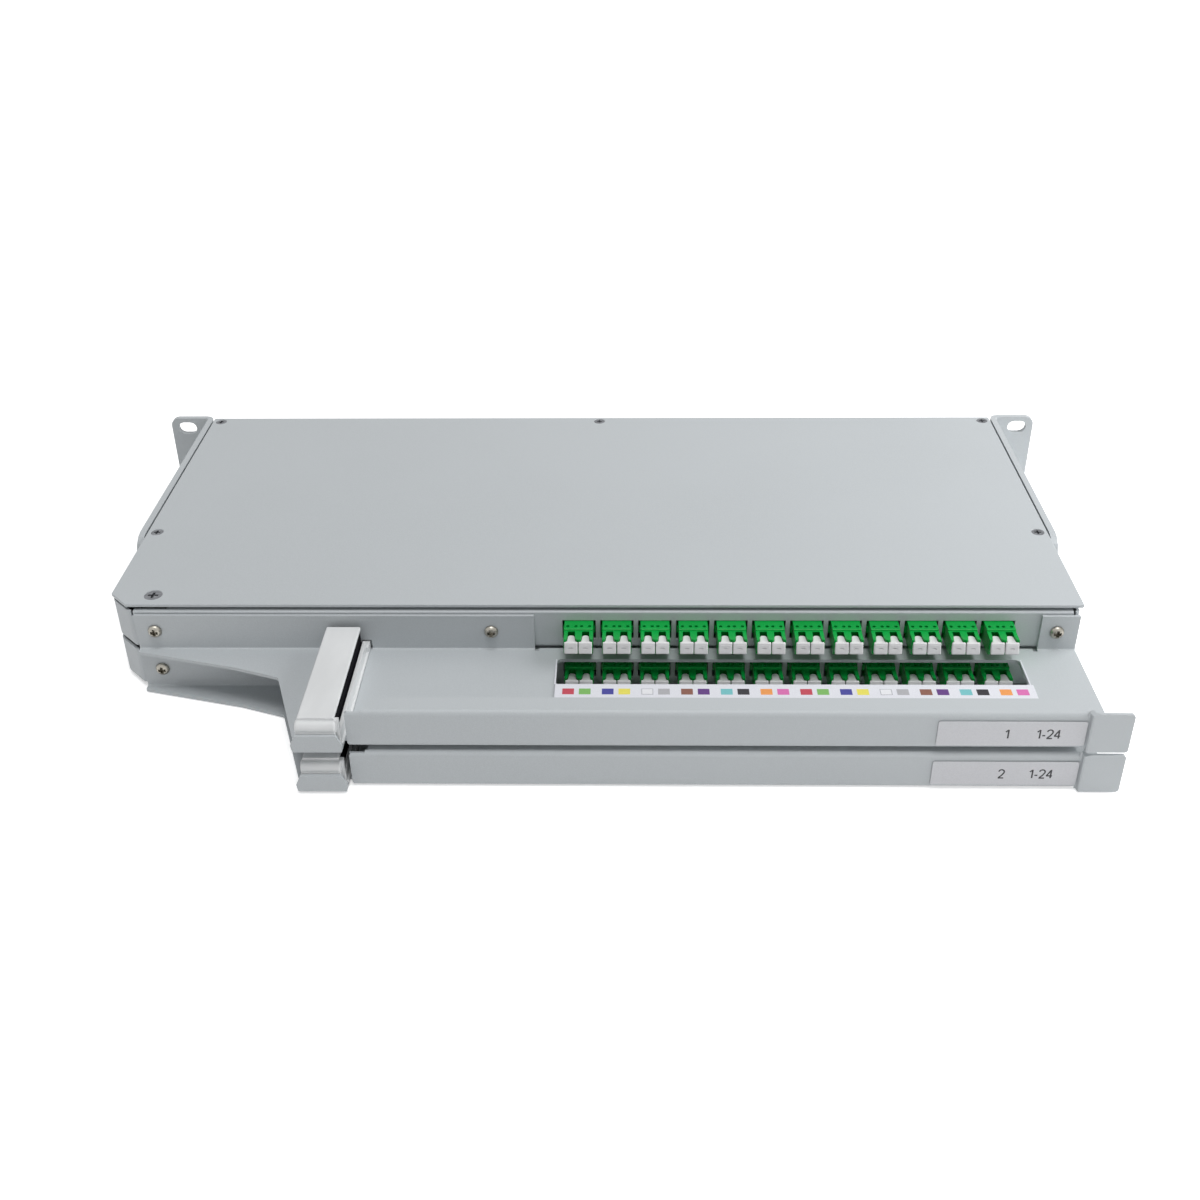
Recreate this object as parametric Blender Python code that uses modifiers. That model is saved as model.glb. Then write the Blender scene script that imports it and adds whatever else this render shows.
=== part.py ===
"""Fibre patch panel, one rack unit high, with two swing-out trays.

Axes: +X to the right, +Y to the back, +Z up, in metres. The origin is at the
middle of the footprint, at the level that the panel stands on. Both trays turn
about one upright post at the front left corner, and their right ends come out.
"""

import math

import bmesh
import bpy
from mathutils import Matrix, Vector

MM = 0.001

# Rack fit
EAR_REACH = 24.7 * MM
SLOT_FROM_TIP = 8.75 * MM
SLOT_SPACING_Z = 31.75 * MM
SLOT_LENGTH = 10.5 * MM
SLOT_HEIGHT = 7.0 * MM
PANEL_HEIGHT = 43.6 * MM

# Housing
HOUSING_WIDTH = 433.2 * MM
HOUSING_DEPTH = 198.0 * MM
COVER_SHEET = 1.5 * MM
COVER_INSET = 0.5 * MM
BASE_SHEET = 1.2 * MM
SIDE_WALL_DEPTH = 140.0 * MM
FLANGE_WIDTH = 10.0 * MM
CORNER_CUT_X = 10.5 * MM
CORNER_CUT_Y = 11.5 * MM
COVER_CORNER_RADIUS = 4.0 * MM
BASE_FRONT_INSET = 0.5 * MM
BASE_BEND = 2.0 * MM
ENTRY_LENGTH = 64.0 * MM
ENTRY_HEIGHT = 22.0 * MM
ENTRY_FROM_SIDE = 78.6 * MM
GROMMET_WALL = 1.4 * MM
GROMMET_LIP = 1.2 * MM
GROMMET_OVERLAP = 2.0 * MM

# Brackets
BRACKET_SHEET = 3.0 * MM
BRACKET_NOSE_RADIUS = 10.0 * MM
BRACKET_BEND = 4.5 * MM
EAR_CORNER_RADIUS = 4.3 * MM

# Clearances
SEAT_GAP = 0.3 * MM
HOLE_CLEARANCE = 0.3 * MM
SWING_CLEARANCE = 0.8 * MM
WALL_CLEARANCE = 2.0 * MM
FLUSH = 0.1 * MM

# Pivot
PIVOT_FROM_SIDE = 19.8 * MM
PIVOT_FROM_FRONT = 9.9 * MM
POST_RADIUS = 4.0 * MM
POST_FOOT_RADIUS = 3.0 * MM
BUSH_WALL = 2.0 * MM
BUSH_FLANGE = 0.9 * MM
BUSH_FLANGE_HEIGHT = 1.2 * MM

# Trays
TRAY_COUNT = 2
TRAY_PITCH = 20.3 * MM
TRAY_HEIGHT = 18.8 * MM
TRAY_SHEET = 1.2 * MM
TRAY_SIDE_INSET = 2.2 * MM
TRAY_FRONT_INSET = 1.0 * MM
TRAY_STEP_GAP = 5.0 * MM
TRAY_LIP = 5.0 * MM
TRAY_LIP_RELIEF = 2.4 * MM
TRAY_BEND = 1.6 * MM
TRAY_ARC_STEPS = 8
FIBRE_ENTRY_WIDTH = 6.4 * MM
FIBRE_ENTRY_HEIGHT = 10.0 * MM
FIBRE_ENTRY_RISE = 4.4 * MM

# Patch-cord shelf in front of each tray
SHELF_SHEET = 1.5 * MM
SHELF_BEND = 2.2 * MM
SHELF_DROP = 1.2 * MM
SHELF_REACH = 71.1 * MM
SHELF_HEIGHT = 17.8 * MM
SHELF_FLANGE_TOP = 17.6 * MM
SHELF_FLANGE_TO_ADAPTER = 19.9 * MM
SHELF_FLANGE_RIGHT = 16.6 * MM
SHELF_LEFT_INSET = 1.5 * MM
SHELF_FREE_EDGE = 0.9 * MM
SHELF_RELIEF = 2.0 * MM
SHELF_RELIEF_DEPTH = 3.0 * MM
SHELF_TOP_FLANGE = 10.0 * MM
FASCIA_TO_LIP = 1.1 * MM
FASCIA_BARE_END = 7.5 * MM
FASCIA_RELIEF = 4.0 * MM
FASCIA_CORNER = 7.0 * MM
FASCIA_TOP_ROUND = 1.4 * MM
FASCIA_FOOT_ROUND = 2.5 * MM
TAB_LENGTH = 18.3 * MM
TAB_OFFSET = 2.5 * MM
TAB_CORNER = 1.5 * MM
TAB_RELIEF = 1.8 * MM
TAB_ROOT = 1.0 * MM
TAB_BEND = 0.9 * MM
LIP_REACH = 5.3 * MM
LIP_FROM_SIDE = 94.4 * MM
LIP_WIDTH = 21.0 * MM
LIP_HEIGHT = 9.1 * MM
LIP_FOOT_INSET = 0.7 * MM
LIP_HEAD_INSET = 2.2 * MM
WING_END = 4.5 * MM
WING_MIDDLE_TO_LIP = 37.0 * MM
WING_MIDDLE_REACH = 18.0 * MM
WING_CORNER_TO_LIP = 16.3 * MM
WING_CORNER_REACH = 27.6 * MM
WING_CORNER_RADIUS = 7.0 * MM
WING_BEND_RADIUS = 14.0 * MM
WINDOW_MARGIN_LEFT = 9.4 * MM
WINDOW_MARGIN_RIGHT = 8.6 * MM
WINDOW_START = 11.6 * MM
WINDOW_DEPTH = 17.4 * MM
WINDOW_CORNER = 2.0 * MM

# Adapters and their dust caps
ADAPTER_COUNT = 12
ADAPTER_LAST_FROM_SIDE = 35.2 * MM
ADAPTER_PITCH = 16.8 * MM
ADAPTER_WIDTH = 12.8 * MM
ADAPTER_HEIGHT = 9.3 * MM
ADAPTER_RISE = 4.75 * MM
ADAPTER_FRONT = 14.1 * MM
ADAPTER_BACK = 10.0 * MM
ADAPTER_STEP = 6.6 * MM
ADAPTER_STEP_DROP = 0.7 * MM
ADAPTER_CLIP_SLOT = 1.0 * MM
CLIP_ROOT = 5.6 * MM
CLIP_MARGIN = 3.0 * MM
CLIP_SETBACK = 0.2 * MM
CLIP_LENGTH = 6.0 * MM
PORT_PITCH = 6.25 * MM
PORT_HEIGHT = 4.6 * MM
PORT_FLOOR = 2.35 * MM
NOTCH_WIDTH = 4.4 * MM
NOTCH_DEPTH = 6.2 * MM
NOTCH_OVERLAP = 1.3 * MM
NOTCH_FLARE = 0.3 * MM
CAP_WIDTH = 5.9 * MM
CAP_HEIGHT = 5.1 * MM
CAP_HEAD = 2.5 * MM
CAP_NECK_WIDTH = 3.8 * MM
CAP_NECK_LENGTH = 3.9 * MM
CAP_NECK_TAPER = 0.4 * MM
CAP_NECK_ROUND = 0.9 * MM
CAP_NECK_DROP = 0.4 * MM
CAP_NECK_SHEET = 1.2 * MM

# Cord guide on the shelf
GUIDE_TO_LIP = 2.8 * MM
GUIDE_WIDTH = 15.1 * MM
GUIDE_WALL = 1.6 * MM
GUIDE_START = 4.5 * MM
GUIDE_LENGTH = 66.9 * MM
GUIDE_RISE = 13.2 * MM
GUIDE_LEAF = 1.4 * MM
GUIDE_LOW_WALL = 5.7 * MM
GUIDE_WALL_OUT = 1.9 * MM
GUIDE_EDGE = 0.6 * MM
GUIDE_FOOT = 1.0 * MM
GUIDE_FOOT_SHEET = 1.0 * MM
GUIDE_TAB_HEIGHT = 3.9 * MM
GUIDE_TAB_GAP = 0.6 * MM
ROLL_RADIUS = 2.9 * MM
ROLL_DROP = 1.2 * MM
ROLL_OVERHANG = 0.8 * MM
FOAM_SPLIT = 0.4 * MM
FOAM_ROOT = 2.0 * MM

# Labels on the fascia and the colour strip on the upper shelf
LABEL_INSET = 0.7 * MM
LABEL_WIDTH = 56.6 * MM
LABEL_HEIGHT = 11.4 * MM
LABEL_RISE = 2.3 * MM
LABEL_SHEET = 0.4 * MM
LABEL_CORNER = 0.8 * MM
STRIP_MARGIN_LEFT = 0.2 * MM
STRIP_MARGIN_RIGHT = 1.4 * MM
STRIP_DEPTH = 11.6 * MM
STRIP_GAP = 0.5 * MM

# Splice cassette in each tray
CASSETTE_FROM_WALL = 15.6 * MM
CASSETTE_DEPTH_AT = 96.0 * MM
CASSETTE_LENGTH = 170.0 * MM
CASSETTE_WIDTH = 108.0 * MM
CASSETTE_CORNER = 24.0 * MM
CASSETTE_WALL = 1.5 * MM
CASSETTE_HEIGHT = 10.0 * MM
HUB_RADIUS = 30.0 * MM
HUB_HEIGHT = 7.0 * MM
HUB_OFFSET = 40.0 * MM
COMB_SLOTS = 6
COMB_PITCH = 3.2 * MM
COMB_SLOT = 2.2 * MM
COMB_BASE = 1.6 * MM
COMB_HEIGHT = 5.0 * MM
COMB_LENGTH = 34.0 * MM
COMB_OFFSET = 41.0 * MM
PEG_RADIUS = 2.0 * MM
PEG_INSET_X = 14.0 * MM
PEG_INSET_Y = 14.0 * MM

# Cable anchor on the floor behind the trays' arc
ANCHOR_FROM_SIDE = 18.6 * MM
ANCHOR_DEPTH_AT = 20.0 * MM
ANCHOR_WIDTH = 16.0 * MM
ANCHOR_HEIGHT = 30.0 * MM
ANCHOR_SHEET = 1.5 * MM
ANCHOR_BEND = 1.0 * MM
ANCHOR_FOOT = 12.0 * MM
ANCHOR_SLOT_LENGTH = 9.0 * MM
ANCHOR_SLOT_HEIGHT = 3.0 * MM

# Fasteners
COVER_SCREW_RADIUS = 1.5 * MM
COVER_SCREW_HEAD = 2.9 * MM
COVER_SCREW_INSET = 4.6 * MM
COVER_SCREW_TO_WALL_END = 9.5 * MM
COVER_SCREW_LENGTH = 5.0 * MM
PIVOT_SCREW_RADIUS = 2.5 * MM
PIVOT_SCREW_HEAD = 4.0 * MM
PIVOT_SCREW_LENGTH = 10.0 * MM
SHELF_SCREW_RADIUS = 2.0 * MM
SHELF_SCREW_HEAD = 3.4 * MM
SHELF_SCREW_HEAD_HEIGHT = 2.2 * MM
SHELF_SCREW_TAIL = 0.5 * MM
SHELF_SCREW_RISE = 9.6 * MM
SHELF_SCREW_FROM_LEFT = 19.4 * MM
SHELF_SCREW_FROM_FLANGE_END = 19.1 * MM
SHELF_SCREW_FROM_RIGHT = 9.4 * MM
BRACKET_SCREW_RADIUS = 2.0 * MM
BRACKET_SCREW_HEAD = 3.5 * MM
BRACKET_HEAD_HEIGHT = 1.8 * MM
BRACKET_SCREW_LENGTH = 6.0 * MM
BRACKET_SCREW_ROWS = (11.0 * MM, 32.6 * MM)
BRACKET_SCREW_DEPTHS = (28.0 * MM, 78.0 * MM)

# Fineness of the curves, and what the modelling steps need
SCREW_SIDES = 10
ROUND_SIDES = 18
BEND_STEPS = 2
CORNER_STEPS = 4
SLOT_STEPS = 3
ENTRY_STEPS = 3
NOTCH_STEPS = 2
CASSETTE_STEPS = 4
MARGIN = 2.0 * MM
MERGE = 0.01 * MM
CORNER_ANGLE = math.radians(20)
SMOOTH_ANGLE = math.radians(40)
DOME_ANGLES = tuple(math.radians(angle) for angle in (0, 50, 90))

# Places that follow from the sizes above
HALF_WIDTH = HOUSING_WIDTH / 2
TRAY_HALF = HALF_WIDTH - TRAY_SIDE_INSET
TRAY_FRONT = HOUSING_DEPTH - TRAY_FRONT_INSET
SHELF_BACK = TRAY_FRONT + SEAT_GAP
FASCIA_AT = TRAY_FRONT + SHELF_REACH
LIP_AT = FASCIA_AT + LIP_REACH
OVERALL_DEPTH = LIP_AT + BRACKET_SHEET
HOUSING_REAR_Y = OVERALL_DEPTH / 2 - BRACKET_SHEET
PIVOT_X = -HALF_WIDTH + PIVOT_FROM_SIDE
PIVOT_DEPTH = HOUSING_DEPTH - PIVOT_FROM_FRONT
COVER_LOW = PANEL_HEIGHT - COVER_SHEET
LOWEST_TRAY = BASE_SHEET + SEAT_GAP
ENTRY_OFFSET = HALF_WIDTH - ENTRY_FROM_SIDE
TAB_RIGHT = HALF_WIDTH
FASCIA_RIGHT = TAB_RIGHT - TAB_LENGTH
LIP_LEFT = -TRAY_HALF + LIP_FROM_SIDE
FASCIA_LEFT = LIP_LEFT + LIP_WIDTH + FASCIA_TO_LIP
GUIDE_LEFT = LIP_LEFT + GUIDE_TO_LIP
WING_LEFT = -TRAY_HALF + CORNER_CUT_X - TRAY_FRONT_INSET + SHELF_LEFT_INSET
ADAPTER_LAST_X = TRAY_HALF - ADAPTER_LAST_FROM_SIDE
ADAPTER_FIRST_X = ADAPTER_LAST_X - (ADAPTER_COUNT - 1) * ADAPTER_PITCH
FLANGE_END = ADAPTER_FIRST_X - SHELF_FLANGE_TO_ADAPTER
SHELF_SCREW_XS = (-TRAY_HALF + SHELF_SCREW_FROM_LEFT,
                  FLANGE_END - SHELF_SCREW_FROM_FLANGE_END,
                  TRAY_HALF - SHELF_SCREW_FROM_RIGHT)
WINDOW_LEFT = ADAPTER_FIRST_X - WINDOW_MARGIN_LEFT
WINDOW_RIGHT = ADAPTER_LAST_X + WINDOW_MARGIN_RIGHT
LABEL_LEFT = FASCIA_RIGHT - LABEL_INSET - LABEL_WIDTH
ANCHOR_X = HALF_WIDTH - ANCHOR_FROM_SIDE
SWING_RADIUS = HALF_WIDTH - FLANGE_WIDTH - SWING_CLEARANCE - PIVOT_X
TRAY_LEFT_BACK = -HALF_WIDTH + FLANGE_WIDTH + WALL_CLEARANCE
TRAY_STEP_DEPTH = SIDE_WALL_DEPTH + TRAY_STEP_GAP
CASSETTE_X = TRAY_LEFT_BACK + CASSETTE_FROM_WALL + CASSETTE_LENGTH / 2
TRAY_REAR = FLANGE_WIDTH + WALL_CLEARANCE

# Finishes: sRGB colour, roughness, metallic
FINISHES = {
    "grey_coat": ((186, 193, 198), 0.55, 0.0),
    "screw_nickel": ((176, 172, 162), 0.28, 1.0),
    "green_plastic": ((18, 158, 74), 0.38, 0.0),
    "white_plastic": ((212, 213, 213), 0.42, 0.0),
    "black_foam": ((22, 22, 25), 0.95, 0.0),
    "black_rubber": ((28, 28, 30), 0.8, 0.0),
    "label_film": ((203, 203, 209), 0.4, 0.0),
    "bearing_plastic": ((60, 62, 66), 0.45, 0.0),
}


def ahead(depth):
    """Y of a place that lies this far ahead of the housing's rear face."""
    return HOUSING_REAR_Y - depth


def tray_floor(index):
    """Height of the underside of tray 1, the upper one, or tray 2."""
    return LOWEST_TRAY + (TRAY_COUNT - index) * TRAY_PITCH


def clear_scene():
    """Remove what the file holds, so that the model stands alone."""
    for item in list(bpy.data.objects):
        bpy.data.objects.remove(item, do_unlink=True)


def make_collection(name):
    """New collection in the scene."""
    collection = bpy.data.collections.new(name)
    bpy.context.scene.collection.children.link(collection)
    return collection


def to_linear(channel):
    """Linear value of one sRGB channel that runs from 0 to 255."""
    value = channel / 255
    return value / 12.92 if value <= 0.04045 else ((value + 0.055) / 1.055) ** 2.4


def make_material(name, finish):
    """Principled material of one part."""
    colour, roughness, metallic = FINISHES[finish]
    material = bpy.data.materials.new(name)
    material.use_nodes = True
    shader = material.node_tree.nodes["Principled BSDF"]
    shader.inputs["Base Color"].default_value = (*map(to_linear, colour), 1)
    shader.inputs["Roughness"].default_value = roughness
    shader.inputs["Metallic"].default_value = metallic
    return material


# Outlines

def rectangle(low, high):
    """Outline of a rectangle from its low and high corners."""
    return [low, (high[0], low[1]), high, (low[0], high[1])]


def fillet(points, radius, steps=3, corners=None):
    """Outline with its corners, or only the corners listed, rounded to an arc."""
    rounded = []
    for place, corner in enumerate(points):
        if corners is not None and place not in corners:
            rounded.append(corner)
            continue
        corner = Vector(corner)
        to_last = (Vector(points[place - 1]) - corner).normalized()
        to_next = (Vector(points[(place + 1) % len(points)]) - corner).normalized()
        half = to_last.angle(to_next) / 2
        centre = corner + (to_last + to_next).normalized() * radius / math.sin(half)
        start = corner + to_last * radius / math.tan(half) - centre
        end = corner + to_next * radius / math.tan(half) - centre
        turn = math.atan2(start.cross(end), start.dot(end))
        for step in range(steps + 1):
            rotated = start.copy()
            rotated.rotate(Matrix.Rotation(turn * step / steps, 2))
            rounded.append(tuple(centre + rotated))
    return [point for place, point in enumerate(rounded)
            if math.dist(point, rounded[place - 1]) > MERGE]


def circle(centre, radius, sides=ROUND_SIDES):
    """Outline of a circle."""
    return arc(centre, radius, 0, math.tau * (1 - 1 / sides), sides - 1)


def arc(centre, radius, start, end, steps):
    """Points along an arc, both ends included."""
    angles = [start + (end - start) * step / steps for step in range(steps + 1)]
    return [(centre[0] + radius * math.cos(angle), centre[1] + radius * math.sin(angle))
            for angle in angles]


# Solids as bmesh data

def face_out(bm):
    """Turn every face of a closed solid outwards."""
    bmesh.ops.recalc_face_normals(bm, faces=bm.faces)
    if bm.calc_volume(signed=True) < 0:
        bmesh.ops.reverse_faces(bm, faces=bm.faces)
    return bm


def evaluated(item):
    """Closed bmesh of an object as its modifiers leave it, in world space."""
    bpy.context.view_layer.update()
    graph = bpy.context.evaluated_depsgraph_get()
    mesh = bpy.data.meshes.new_from_object(item.evaluated_get(graph))
    bm = bmesh.new()
    bm.from_mesh(mesh)
    bm.transform(item.matrix_world)
    bmesh.ops.remove_doubles(bm, verts=bm.verts, dist=MERGE)
    bpy.data.meshes.remove(mesh)
    return face_out(bm)


def bake(item):
    """Bmesh of an object and its cutters, which are then removed."""
    bm = evaluated(item)
    for modifier in list(item.modifiers):
        if modifier.type == "BOOLEAN":
            bpy.data.objects.remove(modifier.object, do_unlink=True)
    bpy.data.objects.remove(item, do_unlink=True)
    return bm


def prism(outline, low, high, axis="Z", holes=()):
    """A flat outline, with holes, extruded along one axis from low to high."""
    curve = bpy.data.curves.new("outline", "CURVE")
    curve.dimensions = "2D"
    curve.fill_mode = "BOTH"
    curve.extrude = (high - low) / 2
    for ring in (outline, *holes):
        spline = curve.splines.new("POLY")
        spline.points.add(len(ring) - 1)
        spline.use_cyclic_u = True
        for point, place in zip(spline.points, ring):
            point.co = (*place, 0, 1)
    holder = bpy.data.objects.new("outline", curve)
    CUTTERS.objects.link(holder)
    bm = bake(holder)
    middle = (high + low) / 2
    for vert in bm.verts:
        across, up, along = vert.co
        along += middle
        vert.co = {"X": (along, across, up), "Y": (across, along, up),
                   "Z": (across, up, along)}[axis]
    return face_out(bm)


def box(low, high):
    """A block between two corners."""
    bm = bmesh.new()
    bmesh.ops.create_cube(bm, size=1)
    size = Vector(high) - Vector(low)
    bmesh.ops.scale(bm, verts=bm.verts, vec=size)
    bmesh.ops.translate(bm, verts=bm.verts, vec=Vector(low) + size / 2)
    return bm


def turned(profile, place=(0, 0, 0), axis="Z", sides=SCREW_SIDES, flip=False):
    """A turned solid: radius and height pairs from top to bottom, set on an axis."""
    mesh = bpy.data.meshes.new("profile")
    mesh.from_pydata([(radius, 0, height) for radius, height in profile],
                     [(step, step + 1) for step in range(len(profile) - 1)], [])
    holder = bpy.data.objects.new("profile", mesh)
    CUTTERS.objects.link(holder)
    screw = holder.modifiers.new("turn", "SCREW")
    screw.steps = sides
    screw.render_steps = sides
    screw.use_merge_vertices = True
    screw.merge_threshold = MERGE
    bm = bake(holder)
    turns = {"Z": Matrix(), "Y": Matrix.Rotation(math.radians(90), 4, "X"),
             "X": Matrix.Rotation(math.radians(90), 4, "Y")}
    flipped = Matrix.Rotation(math.pi, 4, "X") if flip else Matrix()
    bm.transform(Matrix.Translation(place) @ turns[axis] @ flipped)
    return bm


def rod(radius, low, high, place=(0, 0, 0), axis="Z", sides=SCREW_SIDES):
    """A plain cylinder on an axis."""
    profile = [(0, high), (radius, high), (radius, low), (0, low)]
    return turned(profile, place, axis, sides)


def joined(*solids):
    """One bmesh that holds several, as separate bodies."""
    whole = bmesh.new()
    for solid in solids:
        placed = {vert: whole.verts.new(vert.co) for vert in solid.verts}
        for face in solid.faces:
            whole.faces.new([placed[vert] for vert in face.verts])
        solid.free()
    return whole


# Objects

def add_part(name, bm, finish, smooth=False):
    """Named part with its own material."""
    mesh = bpy.data.meshes.new(name)
    bm.to_mesh(mesh)
    bm.free()
    if smooth:
        mesh.shade_smooth()
        mesh.set_sharp_from_angle(angle=SMOOTH_ANGLE)
    mesh.materials.append(make_material(name, finish))
    item = bpy.data.objects.new(name, mesh)
    PARTS.objects.link(item)
    return item


def change(item, bm, operation):
    """Cut or join a part with a hidden solid."""
    mesh = bpy.data.meshes.new(item.name + "_tool")
    bm.to_mesh(mesh)
    bm.free()
    tool = bpy.data.objects.new(item.name + "_tool", mesh)
    tool.hide_render = True
    tool.display_type = "WIRE"
    CUTTERS.objects.link(tool)
    modifier = item.modifiers.new(operation.lower(), "BOOLEAN")
    modifier.operation = operation
    modifier.object = tool
    return item


def cut(item, *solids):
    """Cut solids that lie clear of each other out of a part."""
    return change(item, joined(*solids), "DIFFERENCE")


def fuse(item, *solids):
    """Join solids that lie clear of each other to a part."""
    return change(item, joined(*solids), "UNION")


def add_swing(index):
    """Empty on the pivot that carries every piece of one tray."""
    swing = bpy.data.objects.new(f"swing_{index}", None)
    swing.location = pivot_at(tray_floor(index))
    PARTS.objects.link(swing)
    return swing


def hang(item, index):
    """Parent a part to its tray's empty, with its own origin on the pivot."""
    swing = SWINGS[index]
    item.data.transform(Matrix.Translation(-swing.location))
    item.parent = swing


# Sheet metal: an outer surface that is folded, bent and then given thickness

def blank(outline, height):
    """Flat sheet at a height, with its outer side down."""
    bm = bmesh.new()
    bm.edges.layers.float.new("bevel_weight_edge")
    ring = [bm.verts.new((*place, height)) for place in reversed(outline)]
    bm.faces.new(ring)
    return bm


def edges_where(bm, test):
    """Free edges of the sheet whose ends both pass a test on x, y and z."""
    return [edge for edge in bm.edges
            if edge.is_boundary and all(test(*vert.co) for vert in edge.verts)]


def near(value, target):
    """True for a coordinate that lies on a target."""
    return abs(value - target) < MERGE


def fold(bm, edges, place, bent=True):
    """Extrude free edges to where place(x, y, z) sends their ends."""
    layer = bm.edges.layers.float["bevel_weight_edge"]
    for edge in edges:
        edge[layer] = 1.0 if bent else 0.0
    made = bmesh.ops.extrude_edge_only(bm, edges=edges)["geom"]
    verts = [item for item in made if isinstance(item, bmesh.types.BMVert)]
    fresh = [item for item in made if isinstance(item, bmesh.types.BMEdge)
             and all(vert in verts for vert in item.verts)]
    for vert in verts:
        vert.co = place(*vert.co)
    for edge in fresh:
        edge[layer] = 0.0
    return fresh


def bend_corners(bm, low, high):
    """Mark the upright edges between two heights, where walls meet, as bends."""
    layer = bm.edges.layers.float["bevel_weight_edge"]
    bmesh.ops.recalc_face_normals(bm, faces=bm.faces)
    for edge in bm.edges:
        first, second = (vert.co for vert in edge.verts)
        upright = near(first.x, second.x) and near(first.y, second.y)
        full = near(abs(first.z - second.z), high - low)
        if upright and full and len(edge.link_faces) == 2:
            sharp = edge.calc_face_angle(0) > CORNER_ANGLE
            edge[layer] = 1.0 if sharp else 0.0


def sheet_part(name, bm, thickness, bend, finish):
    """Part from a folded surface: bends first, then the thickness inwards."""
    bmesh.ops.recalc_face_normals(bm, faces=bm.faces)
    lowest = min(bm.faces, key=lambda face: face.calc_center_median().z)
    if lowest.normal.z > 0:
        bmesh.ops.reverse_faces(bm, faces=bm.faces)
    item = add_part(name, bm, finish)
    if bend:
        bevel = item.modifiers.new("bends", "BEVEL")
        bevel.limit_method = "WEIGHT"
        bevel.width = bend
        bevel.segments = BEND_STEPS
    solid = item.modifiers.new("sheet", "SOLIDIFY")
    solid.thickness = thickness
    solid.offset = -1
    solid.use_even_offset = True
    return item


# Housing

def cut_corner(half, front, cut_x, cut_y):
    """Points of the cut front left corner, and the front right corner."""
    return [(-half, ahead(front - cut_y)), (-half + cut_x, ahead(front)),
            (half, ahead(front))]


def cover_screw_places():
    """Plan places of the small cover screws, as x and depth."""
    side = HALF_WIDTH - COVER_INSET - COVER_SCREW_INSET
    rear = [(x, COVER_SCREW_INSET) for x in (-side, 0, side)]
    front = SIDE_WALL_DEPTH - COVER_SCREW_TO_WALL_END
    return rear + [(x, front) for x in (-side, side)]


def countersunk(head, shank, length, gap=0.0):
    """Profile of a flat-headed screw, or with a gap of the hole that takes it."""
    head += gap
    shank += gap
    top = [(0, gap), (head + gap, gap)] if gap else [(0, 0), (head, 0)]
    return [*top, (shank, shank - head), (shank, -length - gap), (0, -length - gap)]


def base_corner(half, front):
    """Front left corner of the base, cut back where the lowest shelf turns over it."""
    centre = pivot_at(0)[:2]
    radius = front - PIVOT_DEPTH
    end = centre[1] + PIVOT_X - WING_LEFT + SWING_CLEARANCE
    return [(-half, end), (centre[0] - radius, end),
            *arc(centre, radius, math.pi, 3 * math.pi / 2, CORNER_STEPS)]


def build_base():
    """Bottom plate with side walls, rear wall and the flanges under the cover."""
    half = TRAY_HALF - BASE_FRONT_INSET
    front = TRAY_FRONT - BASE_FRONT_INSET
    side = ahead(SIDE_WALL_DEPTH)
    outline = base_corner(half, front)
    outline += [(half, ahead(front)), (half, side), (HALF_WIDTH, side), (HALF_WIDTH, ahead(0)),
                (-HALF_WIDTH, ahead(0)), (-HALF_WIDTH, side), (-half, side)]
    bm = blank(outline, 0)
    walls = edges_where(bm, lambda x, y, z: near(abs(x), HALF_WIDTH))
    top = COVER_LOW - SEAT_GAP
    rims = fold(bm, walls, lambda x, y, z: (x, y, top))
    bend_corners(bm, 0, top)

    def inwards(x, y, z):
        reach = 0 if near(y, side) else FLANGE_WIDTH
        return (x - math.copysign(FLANGE_WIDTH, x), y - reach, z)

    fold(bm, rims, inwards)
    base = sheet_part("housing_base", bm, BASE_SHEET, BASE_BEND, "grey_coat")
    hole = COVER_SCREW_RADIUS + HOLE_CLEARANCE
    holes = [rod(hole, top - 2 * BASE_SHEET, top + BASE_SHEET, (x, ahead(depth), 0))
             for x, depth in cover_screw_places()]
    holes += [entry_solid(side, 0, 2 * BASE_SHEET) for side in (-1, 1)]
    holes += [rod(BRACKET_SCREW_RADIUS + HOLE_CLEARANCE, -2 * BASE_SHEET, 2 * BASE_SHEET,
                  (side * HALF_WIDTH, ahead(depth), row), "X")
              for side, depth, row in bracket_screw_places()]
    holes.append(rod(POST_FOOT_RADIUS + HOLE_CLEARANCE, -BASE_SHEET, 2 * BASE_SHEET,
                     pivot_at(0)))
    cut(base, *holes)


def pivot_at(height):
    """Point on the trays' axis at a height."""
    return (PIVOT_X, ahead(PIVOT_DEPTH), height)


def entry_outline(side, grow):
    """Outline of a rear cable entry, grown by a margin."""
    low = (side * ENTRY_OFFSET - ENTRY_LENGTH / 2 - grow,
           PANEL_HEIGHT / 2 - ENTRY_HEIGHT / 2 - grow)
    high = (side * ENTRY_OFFSET + ENTRY_LENGTH / 2 + grow,
            PANEL_HEIGHT / 2 + ENTRY_HEIGHT / 2 + grow)
    return fillet(rectangle(low, high), ENTRY_HEIGHT / 2 + grow, ENTRY_STEPS)


def entry_solid(side, grow, reach):
    """Solid through the rear wall on the outline of a cable entry."""
    return prism(entry_outline(side, grow), ahead(reach), ahead(-reach), "Y")


def build_grommets():
    """Rubber edging of the rear cable entries, with a lip on each side."""
    for side, name in ((-1, "entry_grommet_left"), (1, "entry_grommet_right")):
        neck = prism(entry_outline(side, -SEAT_GAP), ahead(BASE_SHEET + 2 * SEAT_GAP),
                     ahead(-SEAT_GAP * 2), "Y")
        grommet = add_part(name, neck, "black_rubber")
        faces = (ahead(BASE_SHEET + SEAT_GAP + GROMMET_LIP), ahead(-SEAT_GAP))
        lips = [prism(entry_outline(side, GROMMET_OVERLAP), low, low + GROMMET_LIP, "Y")
                for low in faces]
        fuse(grommet, *lips)
        cut(grommet, entry_solid(side, -SEAT_GAP - GROMMET_WALL, 2 * MARGIN + BASE_SHEET))


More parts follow.
